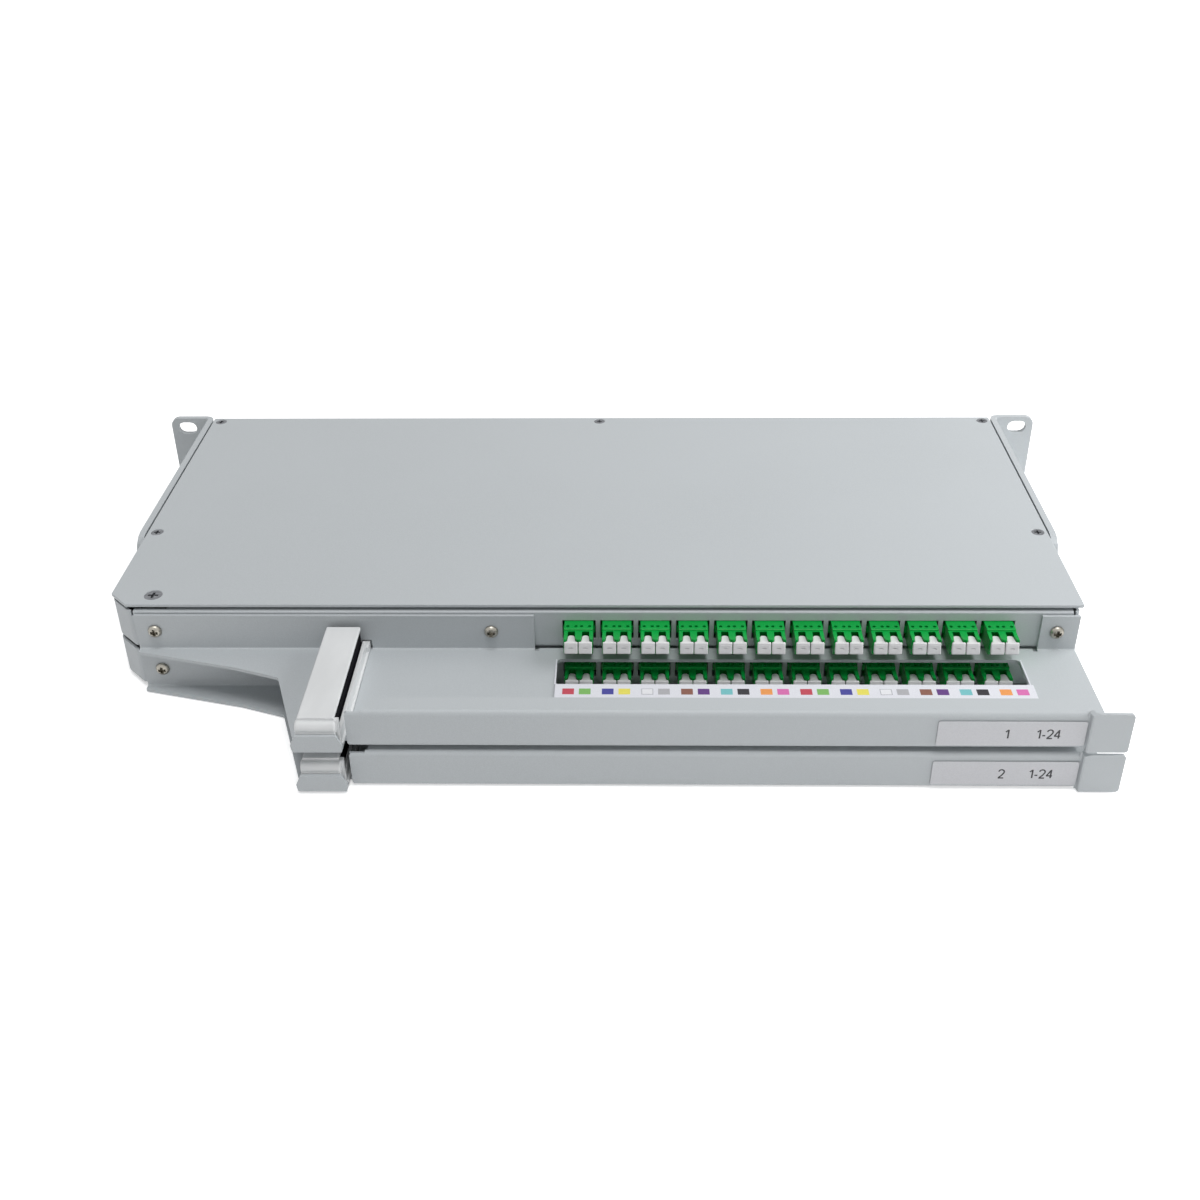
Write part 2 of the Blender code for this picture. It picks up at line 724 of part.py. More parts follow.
def build_cover():
    """Flat top plate with a cut corner and countersunk holes."""
    half = HALF_WIDTH - COVER_INSET
    outline = cut_corner(half, HOUSING_DEPTH, CORNER_CUT_X, CORNER_CUT_Y)
    outline += [(half, ahead(0)), (-half, ahead(0))]
    outline = fillet(outline, COVER_CORNER_RADIUS)
    cover = add_part("top_cover", prism(outline, COVER_LOW, PANEL_HEIGHT), "grey_coat")
    level = PANEL_HEIGHT - FLUSH
    small = countersunk(COVER_SCREW_HEAD, COVER_SCREW_RADIUS, COVER_SHEET, HOLE_CLEARANCE)
    holes = [turned(small, (x, ahead(depth), level)) for x, depth in cover_screw_places()]
    large = countersunk(PIVOT_SCREW_HEAD, PIVOT_SCREW_RADIUS, COVER_SHEET, HOLE_CLEARANCE)
    holes.append(turned(large, pivot_at(level)))
    cut(cover, *holes)


def build_cover_screws():
    """Five small flat-headed screws, and the larger one over the pivot."""
    level = PANEL_HEIGHT - FLUSH
    profile = countersunk(COVER_SCREW_HEAD, COVER_SCREW_RADIUS, COVER_SCREW_LENGTH)
    for number, (x, depth) in enumerate(cover_screw_places(), 1):
        screw = turned(profile, (x, ahead(depth), level))
        add_part(f"cover_screw_{number}", screw, "screw_nickel", True)
    profile = countersunk(PIVOT_SCREW_HEAD, PIVOT_SCREW_RADIUS, PIVOT_SCREW_LENGTH)
    add_part("pivot_screw", turned(profile, pivot_at(level)), "screw_nickel", True)


def bracket_screw_places():
    """Side, depth and height of each screw between bracket and side wall."""
    return [(side, depth, row) for side in (-1, 1)
            for depth in BRACKET_SCREW_DEPTHS for row in BRACKET_SCREW_ROWS]


def corner_tool(corner, run_x, run_y, radius, low, high, axis):
    """Cutter that rounds a square corner; the runs point into the material."""
    centre = (corner[0] + run_x * radius, corner[1] + run_y * radius)
    start = math.atan2(-run_y, 0)
    end = math.atan2(0, -run_x)
    turn = (end - start + math.pi) % math.tau - math.pi
    curve = arc(centre, radius, start, start + turn, CORNER_STEPS)
    outside = [(corner[0] - run_x * MARGIN, corner[1] + run_y * radius),
               (corner[0] - run_x * MARGIN, corner[1] - run_y * MARGIN),
               (corner[0] + run_x * radius, corner[1] - run_y * MARGIN)]
    return prism(curve + outside, low, high, axis)


def build_bracket(side, name):
    """Angle bracket with a slotted ear at the rear, screwed to the side wall."""
    inner = side * (HALF_WIDTH + SEAT_GAP)
    outer = inner + side * BRACKET_SHEET
    tip = side * (HALF_WIDTH + EAR_REACH)
    nose = ahead(SIDE_WALL_DEPTH)
    rear = ahead(-BRACKET_SHEET)
    outline = [(inner, nose), (outer, nose), (outer, ahead(0)), (tip, ahead(0)),
               (tip, rear), (inner, rear)]
    outline = fillet(outline, BRACKET_BEND, corners=(5,))
    outline = fillet(outline, BRACKET_BEND - BRACKET_SHEET, corners=(2,))
    item = add_part(name, prism(outline, 0, PANEL_HEIGHT), "grey_coat")
    span = (ahead(MARGIN), rear + MARGIN)
    tools = []
    for height, up in ((0, 1), (PANEL_HEIGHT, -1)):
        tools.append(corner_tool((tip, height), -side, up, EAR_CORNER_RADIUS, *span, "Y"))
        tools.append(corner_tool((nose, height), 1, up, BRACKET_NOSE_RADIUS,
                                 min(inner, outer) - MARGIN, max(inner, outer) + MARGIN, "X"))
        middle = PANEL_HEIGHT / 2 - up * SLOT_SPACING_Z / 2
        centre = tip - side * SLOT_FROM_TIP
        low = (centre - SLOT_LENGTH / 2, middle - SLOT_HEIGHT / 2)
        high = (centre + SLOT_LENGTH / 2, middle + SLOT_HEIGHT / 2)
        tools.append(prism(fillet(rectangle(low, high), SLOT_HEIGHT / 2, SLOT_STEPS),
                           *span, "Y"))
    cut(item, *tools)
    dome = [(BRACKET_SCREW_HEAD * math.sin(angle), BRACKET_HEAD_HEIGHT * math.cos(angle))
            for angle in DOME_ANGLES]
    profile = [*dome, (BRACKET_SCREW_HEAD, -MARGIN / 2), (BRACKET_SCREW_RADIUS, -MARGIN / 2),
               (BRACKET_SCREW_RADIUS, -BRACKET_SCREW_LENGTH), (0, -BRACKET_SCREW_LENGTH)]
    fuse(item, *[turned(profile, (outer, ahead(depth), row), "X", flip=side < 0)
                 for screw_side, depth, row in bracket_screw_places() if screw_side == side])


def build_pivot_post():
    """Upright post between base and cover, riveted at its foot, tapped at its top."""
    low = BASE_SHEET + SEAT_GAP
    high = COVER_LOW - SEAT_GAP
    bore = PIVOT_SCREW_RADIUS + HOLE_CLEARANCE
    end = PANEL_HEIGHT - PIVOT_SCREW_LENGTH - MARGIN
    profile = [(0, end), (bore, end), (bore, high), (POST_RADIUS, high), (POST_RADIUS, low),
               (POST_FOOT_RADIUS, low), (POST_FOOT_RADIUS, FLUSH), (0, FLUSH)]
    post = turned(profile, pivot_at(0), sides=ROUND_SIDES)
    add_part("pivot_post", post, "screw_nickel", True)


def build_cable_anchor():
    """Upright plate with tie slots, on the floor behind the trays' arc."""
    low = BASE_SHEET + SEAT_GAP
    front = ahead(ANCHOR_DEPTH_AT + ANCHOR_FOOT)
    back = ahead(ANCHOR_DEPTH_AT)
    profile = [(front, low), (back, low), (back, low + ANCHOR_HEIGHT),
               (back - ANCHOR_SHEET, low + ANCHOR_HEIGHT),
               (back - ANCHOR_SHEET, low + ANCHOR_SHEET), (front, low + ANCHOR_SHEET)]
    profile = fillet(profile, ANCHOR_BEND, corners=(4,))
    profile = fillet(profile, ANCHOR_SHEET + ANCHOR_BEND, corners=(1,))
    left = ANCHOR_X - ANCHOR_WIDTH / 2
    anchor = add_part("cable_anchor", prism(profile, left, left + ANCHOR_WIDTH, "X"),
                      "screw_nickel")
    slots = []
    for row in (1, 2):
        middle = low + ANCHOR_HEIGHT * row / 3 + ANCHOR_SLOT_HEIGHT
        slot = rectangle((ANCHOR_X - ANCHOR_SLOT_LENGTH / 2, middle - ANCHOR_SLOT_HEIGHT / 2),
                         (ANCHOR_X + ANCHOR_SLOT_LENGTH / 2, middle + ANCHOR_SLOT_HEIGHT / 2))
        slot = fillet(slot, ANCHOR_SLOT_HEIGHT / 2)
        slots.append(prism(slot, back - 2 * ANCHOR_SHEET, back + ANCHOR_SHEET, "Y"))
    cut(anchor, *slots)


# Trays

def on_swing_arc(depth):
    """X of the tray's right side behind the step, where it has to clear the flange."""
    back = PIVOT_DEPTH - depth
    return PIVOT_X + math.sqrt(SWING_RADIUS ** 2 - back ** 2)


def tray_outline():
    """Plan of a tray: cut corner, straight front, stepped sides and swing arc."""
    cut_x = CORNER_CUT_X - TRAY_FRONT_INSET
    cut_y = CORNER_CUT_Y - TRAY_FRONT_INSET
    outline = cut_corner(TRAY_HALF, TRAY_FRONT, cut_x, cut_y)
    outline[2:2] = [(x, ahead(TRAY_FRONT)) for x in tray_lip_ends()]
    outline.append((TRAY_HALF, ahead(TRAY_STEP_DEPTH)))
    for step in range(TRAY_ARC_STEPS + 1):
        depth = TRAY_STEP_DEPTH + (TRAY_REAR - TRAY_STEP_DEPTH) * step / TRAY_ARC_STEPS
        outline.append((on_swing_arc(depth), ahead(depth)))
    outline += [(TRAY_LEFT_BACK, ahead(TRAY_REAR)), (TRAY_LEFT_BACK, ahead(TRAY_STEP_DEPTH)),
                (-TRAY_HALF, ahead(TRAY_STEP_DEPTH))]
    return outline


def tray_lip_ends():
    """X of both ends of the stiffening lip along the top of the front wall."""
    bush = POST_RADIUS + SEAT_GAP + BUSH_WALL + BUSH_FLANGE
    return PIVOT_X + bush + TRAY_LIP_RELIEF, TRAY_HALF - TRAY_BEND - TRAY_LIP_RELIEF


def adapter_places():
    """X of the middle of each adapter."""
    return [ADAPTER_FIRST_X + ADAPTER_PITCH * place for place in range(ADAPTER_COUNT)]


def cassette_peg_places():
    """Plan places of the pegs that snap the splice cassette into the tray."""
    reach_x = CASSETTE_LENGTH / 2 - PEG_INSET_X
    reach_y = CASSETTE_WIDTH / 2 - PEG_INSET_Y
    return [(CASSETTE_X + side * reach_x, ahead(CASSETTE_DEPTH_AT) + end * reach_y)
            for side in (-1, 1) for end in (-1, 1)]


def build_tray(index):
    """Open tray with the adapter cut-outs in its front wall."""
    floor = tray_floor(index)
    top = floor + TRAY_HEIGHT
    bm = blank(tray_outline(), floor)
    rim = fold(bm, edges_where(bm, lambda x, y, z: True), lambda x, y, z: (x, y, top))
    bend_corners(bm, floor, top)
    left, right = tray_lip_ends()
    front = ahead(TRAY_FRONT)
    lip = [edge for edge in rim if all(
        near(vert.co.y, front) and left - MERGE < vert.co.x < right + MERGE
        for vert in edge.verts)]
    fold(bm, lip, lambda x, y, z: (x, y + TRAY_LIP, z), bent=False)
    tray = sheet_part(f"tray_{index}", bm, TRAY_SHEET, TRAY_BEND, "grey_coat")
    back, face = front - MARGIN, front + TRAY_SHEET + MARGIN
    tools = []
    for x in adapter_places():
        reach = ADAPTER_WIDTH / 2 + ADAPTER_CLIP_SLOT
        low = floor + ADAPTER_RISE - SEAT_GAP
        tools.append(box((x - reach, back, low),
                         (x + reach, face, low + ADAPTER_HEIGHT + 2 * SEAT_GAP)))
    hole = SHELF_SCREW_RADIUS + HOLE_CLEARANCE
    tools += [rod(hole, -2 * TRAY_SHEET, MARGIN, (x, front, floor + SHELF_SCREW_RISE), "Y")
              for x in SHELF_SCREW_XS]
    for end, outward in ((left, -1), (right, 1)):
        near_x, far_x = sorted((end, end + outward * TRAY_LIP_RELIEF / 2))
        tools.append(box((near_x, back, top - TRAY_LIP_RELIEF),
                         (far_x, front + TRAY_LIP + MARGIN, top + MARGIN)))
    step_y = ahead(TRAY_STEP_DEPTH)
    entry_x = (TRAY_LEFT_BACK - TRAY_HALF) / 2
    tools.append(box((entry_x - FIBRE_ENTRY_WIDTH / 2, step_y - MARGIN - TRAY_SHEET,
                      floor + FIBRE_ENTRY_RISE),
                     (entry_x + FIBRE_ENTRY_WIDTH / 2, step_y + MARGIN,
                      floor + FIBRE_ENTRY_RISE + FIBRE_ENTRY_HEIGHT)))
    through = (-MARGIN, TRAY_SHEET + MARGIN)
    bush_hole = POST_RADIUS + SEAT_GAP + BUSH_WALL + HOLE_CLEARANCE
    tools.append(rod(bush_hole, *through, pivot_at(floor), sides=ROUND_SIDES))
    tools += [rod(PEG_RADIUS + HOLE_CLEARANCE, *through, (x, y, floor))
              for x, y in cassette_peg_places()]
    cut(tray, *tools)
    hang(tray, index)


def build_bush(index):
    """Flanged bush that turns on the post and carries the tray above it."""
    floor = tray_floor(index)
    bore = POST_RADIUS + SEAT_GAP
    outer = bore + BUSH_WALL
    seat = floor + TRAY_SHEET + SEAT_GAP
    top = floor + TRAY_PITCH - SEAT_GAP
    centre = pivot_at(0)[:2]
    hollow = circle(centre, bore)
    bush = add_part(f"pivot_bush_{index}", prism(circle(centre, outer), floor, top,
                                                 holes=[hollow]), "bearing_plastic", True)
    flange = prism(circle(centre, outer + BUSH_FLANGE), seat, seat + BUSH_FLANGE_HEIGHT,
                   holes=[circle(centre, bore + BUSH_WALL / 2)])
    fuse(bush, flange)
    hang(bush, index)


def wing_outline():
    """Left edge of the shelf, from the tray wall forward to the lip."""
    points = [(WING_LEFT, ahead(SHELF_BACK)), (WING_LEFT, ahead(SHELF_BACK + WING_END)),
              (LIP_LEFT - WING_MIDDLE_TO_LIP, ahead(SHELF_BACK + WING_MIDDLE_REACH)),
              (LIP_LEFT - WING_CORNER_TO_LIP, ahead(SHELF_BACK + WING_CORNER_REACH)),
              (LIP_LEFT, ahead(FASCIA_AT))]
    points = fillet(points, WING_CORNER_RADIUS, corners=(3,))
    return fillet(points, WING_BEND_RADIUS, corners=(2,))


def shelf_outline():
    """Plan of the shelf floor, with reliefs where a flange or fascia starts."""
    back = ahead(SHELF_BACK)
    free = ahead(SHELF_BACK + SHELF_FREE_EDGE)
    relief = ahead(SHELF_BACK + SHELF_RELIEF_DEPTH)
    front = ahead(FASCIA_AT)
    notch = ahead(FASCIA_AT - FASCIA_RELIEF)
    lip_right = LIP_LEFT + LIP_WIDTH - LIP_FOOT_INSET
    outline = wing_outline()
    right_start = TRAY_HALF - SHELF_FLANGE_RIGHT
    outline += [(LIP_LEFT + LIP_FOOT_INSET, ahead(LIP_AT)), (lip_right, ahead(LIP_AT)),
                (lip_right, notch), (FASCIA_LEFT, notch), (FASCIA_LEFT, front),
                (FASCIA_RIGHT, front), (FASCIA_RIGHT, notch), (TRAY_HALF, notch),
                (TRAY_HALF, back), (right_start, back), (right_start, relief),
                (right_start - SHELF_RELIEF, relief), (right_start - SHELF_RELIEF, free),
                (FLANGE_END + SHELF_RELIEF, free), (FLANGE_END + SHELF_RELIEF, relief),
                (FLANGE_END, relief), (FLANGE_END, back)]
    return outline


def build_shelf(index):
    """Patch-cord shelf: floor, rear flanges, folded fascia with its tab, front lip."""
    low = tray_floor(index) - SHELF_DROP
    top = low + SHELF_HEIGHT
    back, front, lip_y = ahead(SHELF_BACK), ahead(FASCIA_AT), ahead(LIP_AT)
    bm = blank(shelf_outline(), low)
    flange_top = tray_floor(index) + SHELF_FLANGE_TOP
    fold(bm, edges_where(bm, lambda x, y, z: near(y, back)),
         lambda x, y, z: (x, y, flange_top))
    fascia = fold(bm, edges_where(bm, lambda x, y, z: near(y, front) and x > LIP_LEFT / 2
                                  + FASCIA_LEFT / 2),
                  lambda x, y, z: (x, y, top))
    fold(bm, fascia, lambda x, y, z: (x, y + SHELF_TOP_FLANGE, z))
    middle = LIP_LEFT + LIP_WIDTH / 2

    def widen(x, y, z):
        return (x + math.copysign(LIP_FOOT_INSET, x - middle), y, z + LIP_HEIGHT / 2)

    def narrow(x, y, z):
        return (x - math.copysign(LIP_HEAD_INSET, x - middle), y, z + LIP_HEIGHT / 2)

    lip = fold(bm, edges_where(bm, lambda x, y, z: near(y, lip_y)), widen)
    fold(bm, lip, narrow, bent=False)
    shelf = sheet_part(f"shelf_{index}", bm, SHELF_SHEET, SHELF_BEND, "grey_coat")
    fuse(shelf, prism(tab_outline(), low + SHELF_BEND, top))
    cut(shelf, *shelf_tools(index, low, top))
    hang(shelf, index)


def tab_outline():
    """Plan of the finger tab, which steps forward from the fascia's right end."""
    front = ahead(FASCIA_AT)
    face = front - TAB_OFFSET
    outline = [(FASCIA_RIGHT - TAB_ROOT, front), (FASCIA_RIGHT, front), (FASCIA_RIGHT, face),
               (TAB_RIGHT, face), (TAB_RIGHT, face + SHELF_SHEET),
               (FASCIA_RIGHT + SHELF_SHEET, face + SHELF_SHEET),
               (FASCIA_RIGHT + SHELF_SHEET, front + SHELF_SHEET),
               (FASCIA_RIGHT - TAB_ROOT, front + SHELF_SHEET)]
    outline = fillet(outline, TAB_BEND, 2, corners=(5, 6))
    return fillet(outline, TAB_BEND, 2, corners=(1, 2))


def shelf_tools(index, low, top):
    """Cutters of the window, the screw holes and the rounded corners of a shelf."""
    window = rectangle((WINDOW_LEFT, ahead(SHELF_BACK + WINDOW_START + WINDOW_DEPTH)),
                       (WINDOW_RIGHT, ahead(SHELF_BACK + WINDOW_START)))
    tools = [prism(fillet(window, WINDOW_CORNER), low - MARGIN, low + SHELF_SHEET + MARGIN)]
    hole = SHELF_SCREW_RADIUS + HOLE_CLEARANCE
    height = tray_floor(index) + SHELF_SCREW_RISE
    tools += [rod(hole, -MARGIN, SHELF_SHEET + MARGIN, (x, ahead(SHELF_BACK), height), "Y")
              for x in SHELF_SCREW_XS]
    tools.append(guide_tab(guide_levels(index)[0], ahead(SHELF_BACK + SHELF_BEND),
                           ahead(SHELF_BACK - MARGIN), GUIDE_TAB_GAP))
    front = ahead(FASCIA_AT)
    bend = front + SHELF_SHEET + MERGE
    bare = FASCIA_LEFT + FASCIA_BARE_END
    rear = front + SHELF_TOP_FLANGE
    left_end = [(FASCIA_LEFT - MARGIN, bend), (bare, bend)]
    left_end += reversed(arc((bare + FASCIA_CORNER, rear - FASCIA_CORNER), FASCIA_CORNER,
                             math.pi / 2, math.pi, CORNER_STEPS))
    left_end += [(bare + FASCIA_CORNER, rear + MARGIN), (FASCIA_LEFT - MARGIN, rear + MARGIN)]
    right_end = rectangle((FASCIA_RIGHT - TAB_RELIEF, bend),
                          (FASCIA_RIGHT + SHELF_SHEET + MARGIN, rear + MARGIN))
    tools += [prism(outline, top - SHELF_BEND - MARGIN, top + MARGIN)
              for outline in (left_end, right_end)]
    for height, up, radius in ((low, 1, FASCIA_FOOT_ROUND), (top, -1, FASCIA_TOP_ROUND)):
        tools.append(corner_tool((FASCIA_LEFT, height), 1, up, radius,
                                 front - MARGIN, front + SHELF_SHEET + MERGE / 2, "Y"))
    tab_front = front - TAB_OFFSET
    for height, up in ((low + SHELF_BEND, 1), (top, -1)):
        tools.append(corner_tool((TAB_RIGHT, height), -1, up, TAB_CORNER,
                                 tab_front - MARGIN, tab_front + SHELF_SHEET + MARGIN, "Y"))
    return tools


def build_shelf_screws(index):
    """Three pan-headed screws that clamp the shelf's flanges to the tray."""
    dome = [(SHELF_SCREW_HEAD * math.sin(angle), SHELF_SCREW_HEAD_HEIGHT * math.cos(angle))
            for angle in DOME_ANGLES]
    end = -SHELF_SHEET - TRAY_SHEET - 2 * SEAT_GAP - SHELF_SCREW_TAIL
    profile = dome + [(SHELF_SCREW_RADIUS, 0), (SHELF_SCREW_RADIUS, end), (0, end)]
    seat = ahead(SHELF_BACK + SHELF_SHEET + SEAT_GAP)
    height = tray_floor(index) + SHELF_SCREW_RISE
    for number, x in enumerate(SHELF_SCREW_XS, 1):
        screw = turned(profile, (x, seat, height), "Y")
        hang(add_part(f"shelf_screw_{index}_{number}", screw, "screw_nickel", True), index)


# Adapters and caps

def notch_outline(x, front):
    """Plan of the notch over one port: rounded at the back, wider at the front."""
    back = front + NOTCH_DEPTH
    radius = NOTCH_WIDTH / 2 - NOTCH_FLARE
    centre = (x, back - radius)
    curve = arc(centre, radius, 0, math.pi, NOTCH_STEPS)
    return [(x + NOTCH_WIDTH / 2, front - MARGIN), *curve,
            (x - NOTCH_WIDTH / 2, front - MARGIN)]


def build_adapter(index, number, x):
    """Duplex adapter, notched over its front ports, with a dust cap on every port."""
    floor = tray_floor(index)
    wall = ahead(TRAY_FRONT)
    front, back = wall - ADAPTER_FRONT, wall + ADAPTER_BACK
    low = floor + ADAPTER_RISE
    high = low + ADAPTER_HEIGHT
    step = wall - ADAPTER_STEP
    profile = [(front, low), (back, low), (back, high), (step, high),
               (step, high - ADAPTER_STEP_DROP), (front, high - ADAPTER_STEP_DROP)]
    body = prism(profile, x - ADAPTER_WIDTH / 2, x + ADAPTER_WIDTH / 2, "X")
    item = add_part(f"adapter_{index}_{number:02d}", body, "green_plastic")
    reach = ADAPTER_WIDTH / 2 + ADAPTER_CLIP_SLOT - SEAT_GAP
    clips = []
    for side in (-1, 1):
        inner, outer = sorted((x + side * CLIP_ROOT, x + side * reach))
        clips.append(box((inner, wall + CLIP_SETBACK, low + CLIP_MARGIN),
                         (outer, wall + CLIP_SETBACK + CLIP_LENGTH, high - CLIP_MARGIN)))
    fuse(item, *clips)
    ports = [x + side * PORT_PITCH / 2 for side in (-1, 1)]
    port_low = low + PORT_FLOOR
    cut(item, *[prism(notch_outline(port, front), port_low + PORT_HEIGHT - NOTCH_OVERLAP,
                      high + MARGIN) for port in ports])
    caps = [one_cap(port, front, port_low) for port in ports]
    caps += [box((port - CAP_WIDTH / 2, back - MARGIN, port_low + SEAT_GAP),
                 (port + CAP_WIDTH / 2, back + CAP_HEAD, port_low + SEAT_GAP + CAP_HEIGHT))
             for port in ports]
    fuse(item, *caps)
    hang(item, index)


def one_cap(x, face, low):
    """Dust cap: head against the port, and the neck that lies in the notch."""
    head_front = face - CAP_HEAD
    low += SEAT_GAP
    head = add_part("cap", box((x - CAP_WIDTH / 2, head_front, low),
                               (x + CAP_WIDTH / 2, face + SEAT_GAP, low + CAP_HEIGHT)),
                    "white_plastic")
    reach = CAP_NECK_WIDTH / 2
    neck = [(x - reach, face - CAP_HEAD / 2), (x + reach, face - CAP_HEAD / 2),
            (x + reach - CAP_NECK_TAPER, face + CAP_NECK_LENGTH),
            (x - reach + CAP_NECK_TAPER, face + CAP_NECK_LENGTH)]
    neck = fillet(neck, CAP_NECK_ROUND, 1, corners=(2, 3))
    top = low + CAP_HEIGHT - CAP_NECK_DROP
    fuse(head, prism(neck, top - CAP_NECK_SHEET, top))
    return bake(head)


# Cord guide, labels and strip

def guide_levels(index):
    """Foot and top of the cord guide."""
    foot = tray_floor(index) - SHELF_DROP + SHELF_SHEET + SEAT_GAP
    return foot, foot + GUIDE_RISE


def build_guide(index):
    """Moulded channel with a long slit on its right and a rolled finger edge in front."""
    foot, top = guide_levels(index)
    left = GUIDE_LEFT
    leaf_right = left + GUIDE_WIDTH
    wall_right = leaf_right + GUIDE_WALL_OUT
    rear = ahead(SHELF_BACK + GUIDE_START)
    front = ahead(SHELF_BACK + GUIDE_START + GUIDE_LENGTH)
    profile = [(left, foot), (wall_right + GUIDE_FOOT, foot),
               (wall_right + GUIDE_FOOT, foot + GUIDE_FOOT_SHEET),
               (wall_right, foot + GUIDE_FOOT_SHEET), (wall_right, foot + GUIDE_LOW_WALL),
               (wall_right - GUIDE_WALL, foot + GUIDE_LOW_WALL),
               (wall_right - GUIDE_WALL, foot + GUIDE_FOOT_SHEET),
               (left + GUIDE_WALL, foot + GUIDE_FOOT_SHEET),
               (left + GUIDE_WALL, top - GUIDE_LEAF), (leaf_right, top - GUIDE_LEAF),
               (leaf_right, top), (left, top)]
    profile = fillet(profile, GUIDE_EDGE, 2, corners=(10, 11))
    guide = add_part(f"cord_guide_{index}", prism(profile, front, rear, "Y"),
                     "white_plastic")
    length = GUIDE_WIDTH + 2 * ROLL_OVERHANG
    middle = (left + leaf_right) / 2
    centre = (middle, front, top - ROLL_DROP - ROLL_RADIUS)
    roll = rod(ROLL_RADIUS, -length / 2, length / 2, centre, "X", ROUND_SIDES)
    fuse(guide, roll, guide_tab(foot, rear - MARGIN, ahead(TRAY_FRONT + 2 * SEAT_GAP), 0))
    hang(guide, index)


def guide_tab(foot, low_y, high_y, gap):
    """Tab behind the guide that hooks into the shelf's flange, or with a gap its hole."""
    right = GUIDE_LEFT + GUIDE_WIDTH + GUIDE_WALL_OUT + GUIDE_FOOT
    left = right - GUIDE_FOOT - GUIDE_WALL
    return box((left - gap, low_y, foot - gap / 2),
               (right + gap, high_y, foot + GUIDE_TAB_HEIGHT + gap))


def build_foam(index):
    """Foam in the guide, slit from the right, that grips the cords."""
    foot, top = guide_levels(index)
    left = GUIDE_LEFT + GUIDE_WALL + SEAT_GAP
    rear = ahead(SHELF_BACK + GUIDE_START + SEAT_GAP)
    front = ahead(SHELF_BACK + GUIDE_START + GUIDE_LENGTH - ROLL_RADIUS - SEAT_GAP)
    right = GUIDE_LEFT + GUIDE_WIDTH - SEAT_GAP
    low_right = right + GUIDE_WALL_OUT - GUIDE_WALL
    low, high = foot + GUIDE_FOOT_SHEET + SEAT_GAP, top - GUIDE_LEAF - SEAT_GAP
    split = foot + GUIDE_LOW_WALL
    profile = [(left, low), (low_right, low), (low_right, split), (left + FOAM_ROOT, split),
               (left + FOAM_ROOT, split + FOAM_SPLIT), (right, split + FOAM_SPLIT),
               (right, high), (left, high)]
    foam = prism(profile, front, rear, "Y")
    hang(add_part(f"guide_foam_{index}", foam, "black_foam"), index)


def build_label(index):
    """Label plate on the fascia."""
    low = tray_floor(index) - SHELF_DROP + LABEL_RISE
    back = ahead(FASCIA_AT + SEAT_GAP)
    outline = rectangle((LABEL_LEFT, low), (LABEL_LEFT + LABEL_WIDTH, low + LABEL_HEIGHT))
    item = add_part(f"label_plate_{index}",
                    prism(fillet(outline, LABEL_CORNER), back - LABEL_SHEET, back, "Y"),
                    "label_film")
    hang(item, index)


def build_strip():
    """Colour-code strip in front of the window of the upper shelf."""
    low = tray_floor(1) - SHELF_DROP + SHELF_SHEET + SEAT_GAP
    back = SHELF_BACK + WINDOW_START + WINDOW_DEPTH + STRIP_GAP
    outline = rectangle((WINDOW_LEFT - STRIP_MARGIN_LEFT, ahead(back + STRIP_DEPTH)),
                        (WINDOW_RIGHT + STRIP_MARGIN_RIGHT, ahead(back)))
    strip = prism(outline, low, low + LABEL_SHEET)
    hang(add_part("colour_strip_1", strip, "label_film"), 1)


# Inside each tray

def build_cassette(index):
    """Splice cassette: shallow tray, two winding hubs, splice combs and snap pegs."""
    floor = tray_floor(index)
    low = floor + TRAY_SHEET + SEAT_GAP
    centre = (CASSETTE_X, ahead(CASSETTE_DEPTH_AT))
    reach = (CASSETTE_LENGTH / 2, CASSETTE_WIDTH / 2)
    outline = rectangle((centre[0] - reach[0], centre[1] - reach[1]),
                        (centre[0] + reach[0], centre[1] + reach[1]))
    bm = blank(fillet(outline, CASSETTE_CORNER, CASSETTE_STEPS), low)
    fold(bm, edges_where(bm, lambda x, y, z: True),
         lambda x, y, z: (x, y, z + CASSETTE_HEIGHT), bent=False)
    item = sheet_part(f"splice_cassette_{index}", bm, CASSETTE_WALL, 0, "bearing_plastic")
    inside = low + CASSETTE_WALL / 2
    solids = []
    for side in (-1, 1):
        hub = (centre[0] + side * HUB_OFFSET, centre[1])
        solids.append(prism(circle(hub, HUB_RADIUS), inside, low + HUB_HEIGHT,
                            holes=[circle(hub, HUB_RADIUS - CASSETTE_WALL)]))
        solids.append(prism(comb_profile(centre[1] + side * COMB_OFFSET, inside),
                            CASSETTE_X - COMB_LENGTH / 2, CASSETTE_X + COMB_LENGTH / 2, "X"))
    solids += [rod(PEG_RADIUS, floor + FLUSH, inside, (x, y, 0))
               for x, y in cassette_peg_places()]
    fuse(item, *solids)
    hang(item, index)


def comb_profile(centre, low):
    """Section of a splice comb across its slots, as y and z."""
    width = COMB_SLOTS * COMB_PITCH + (COMB_PITCH - COMB_SLOT)
    start = centre - width / 2
    points = [(start, low), (start + width, low), (start + width, low + COMB_HEIGHT)]
    for slot in reversed(range(COMB_SLOTS)):
        right = start + (slot + 1) * COMB_PITCH
        left = right - COMB_SLOT
        points += [(right, low + COMB_HEIGHT), (right, low + COMB_BASE),
                   (left, low + COMB_BASE), (left, low + COMB_HEIGHT)]
    return points + [(start, low + COMB_HEIGHT)]


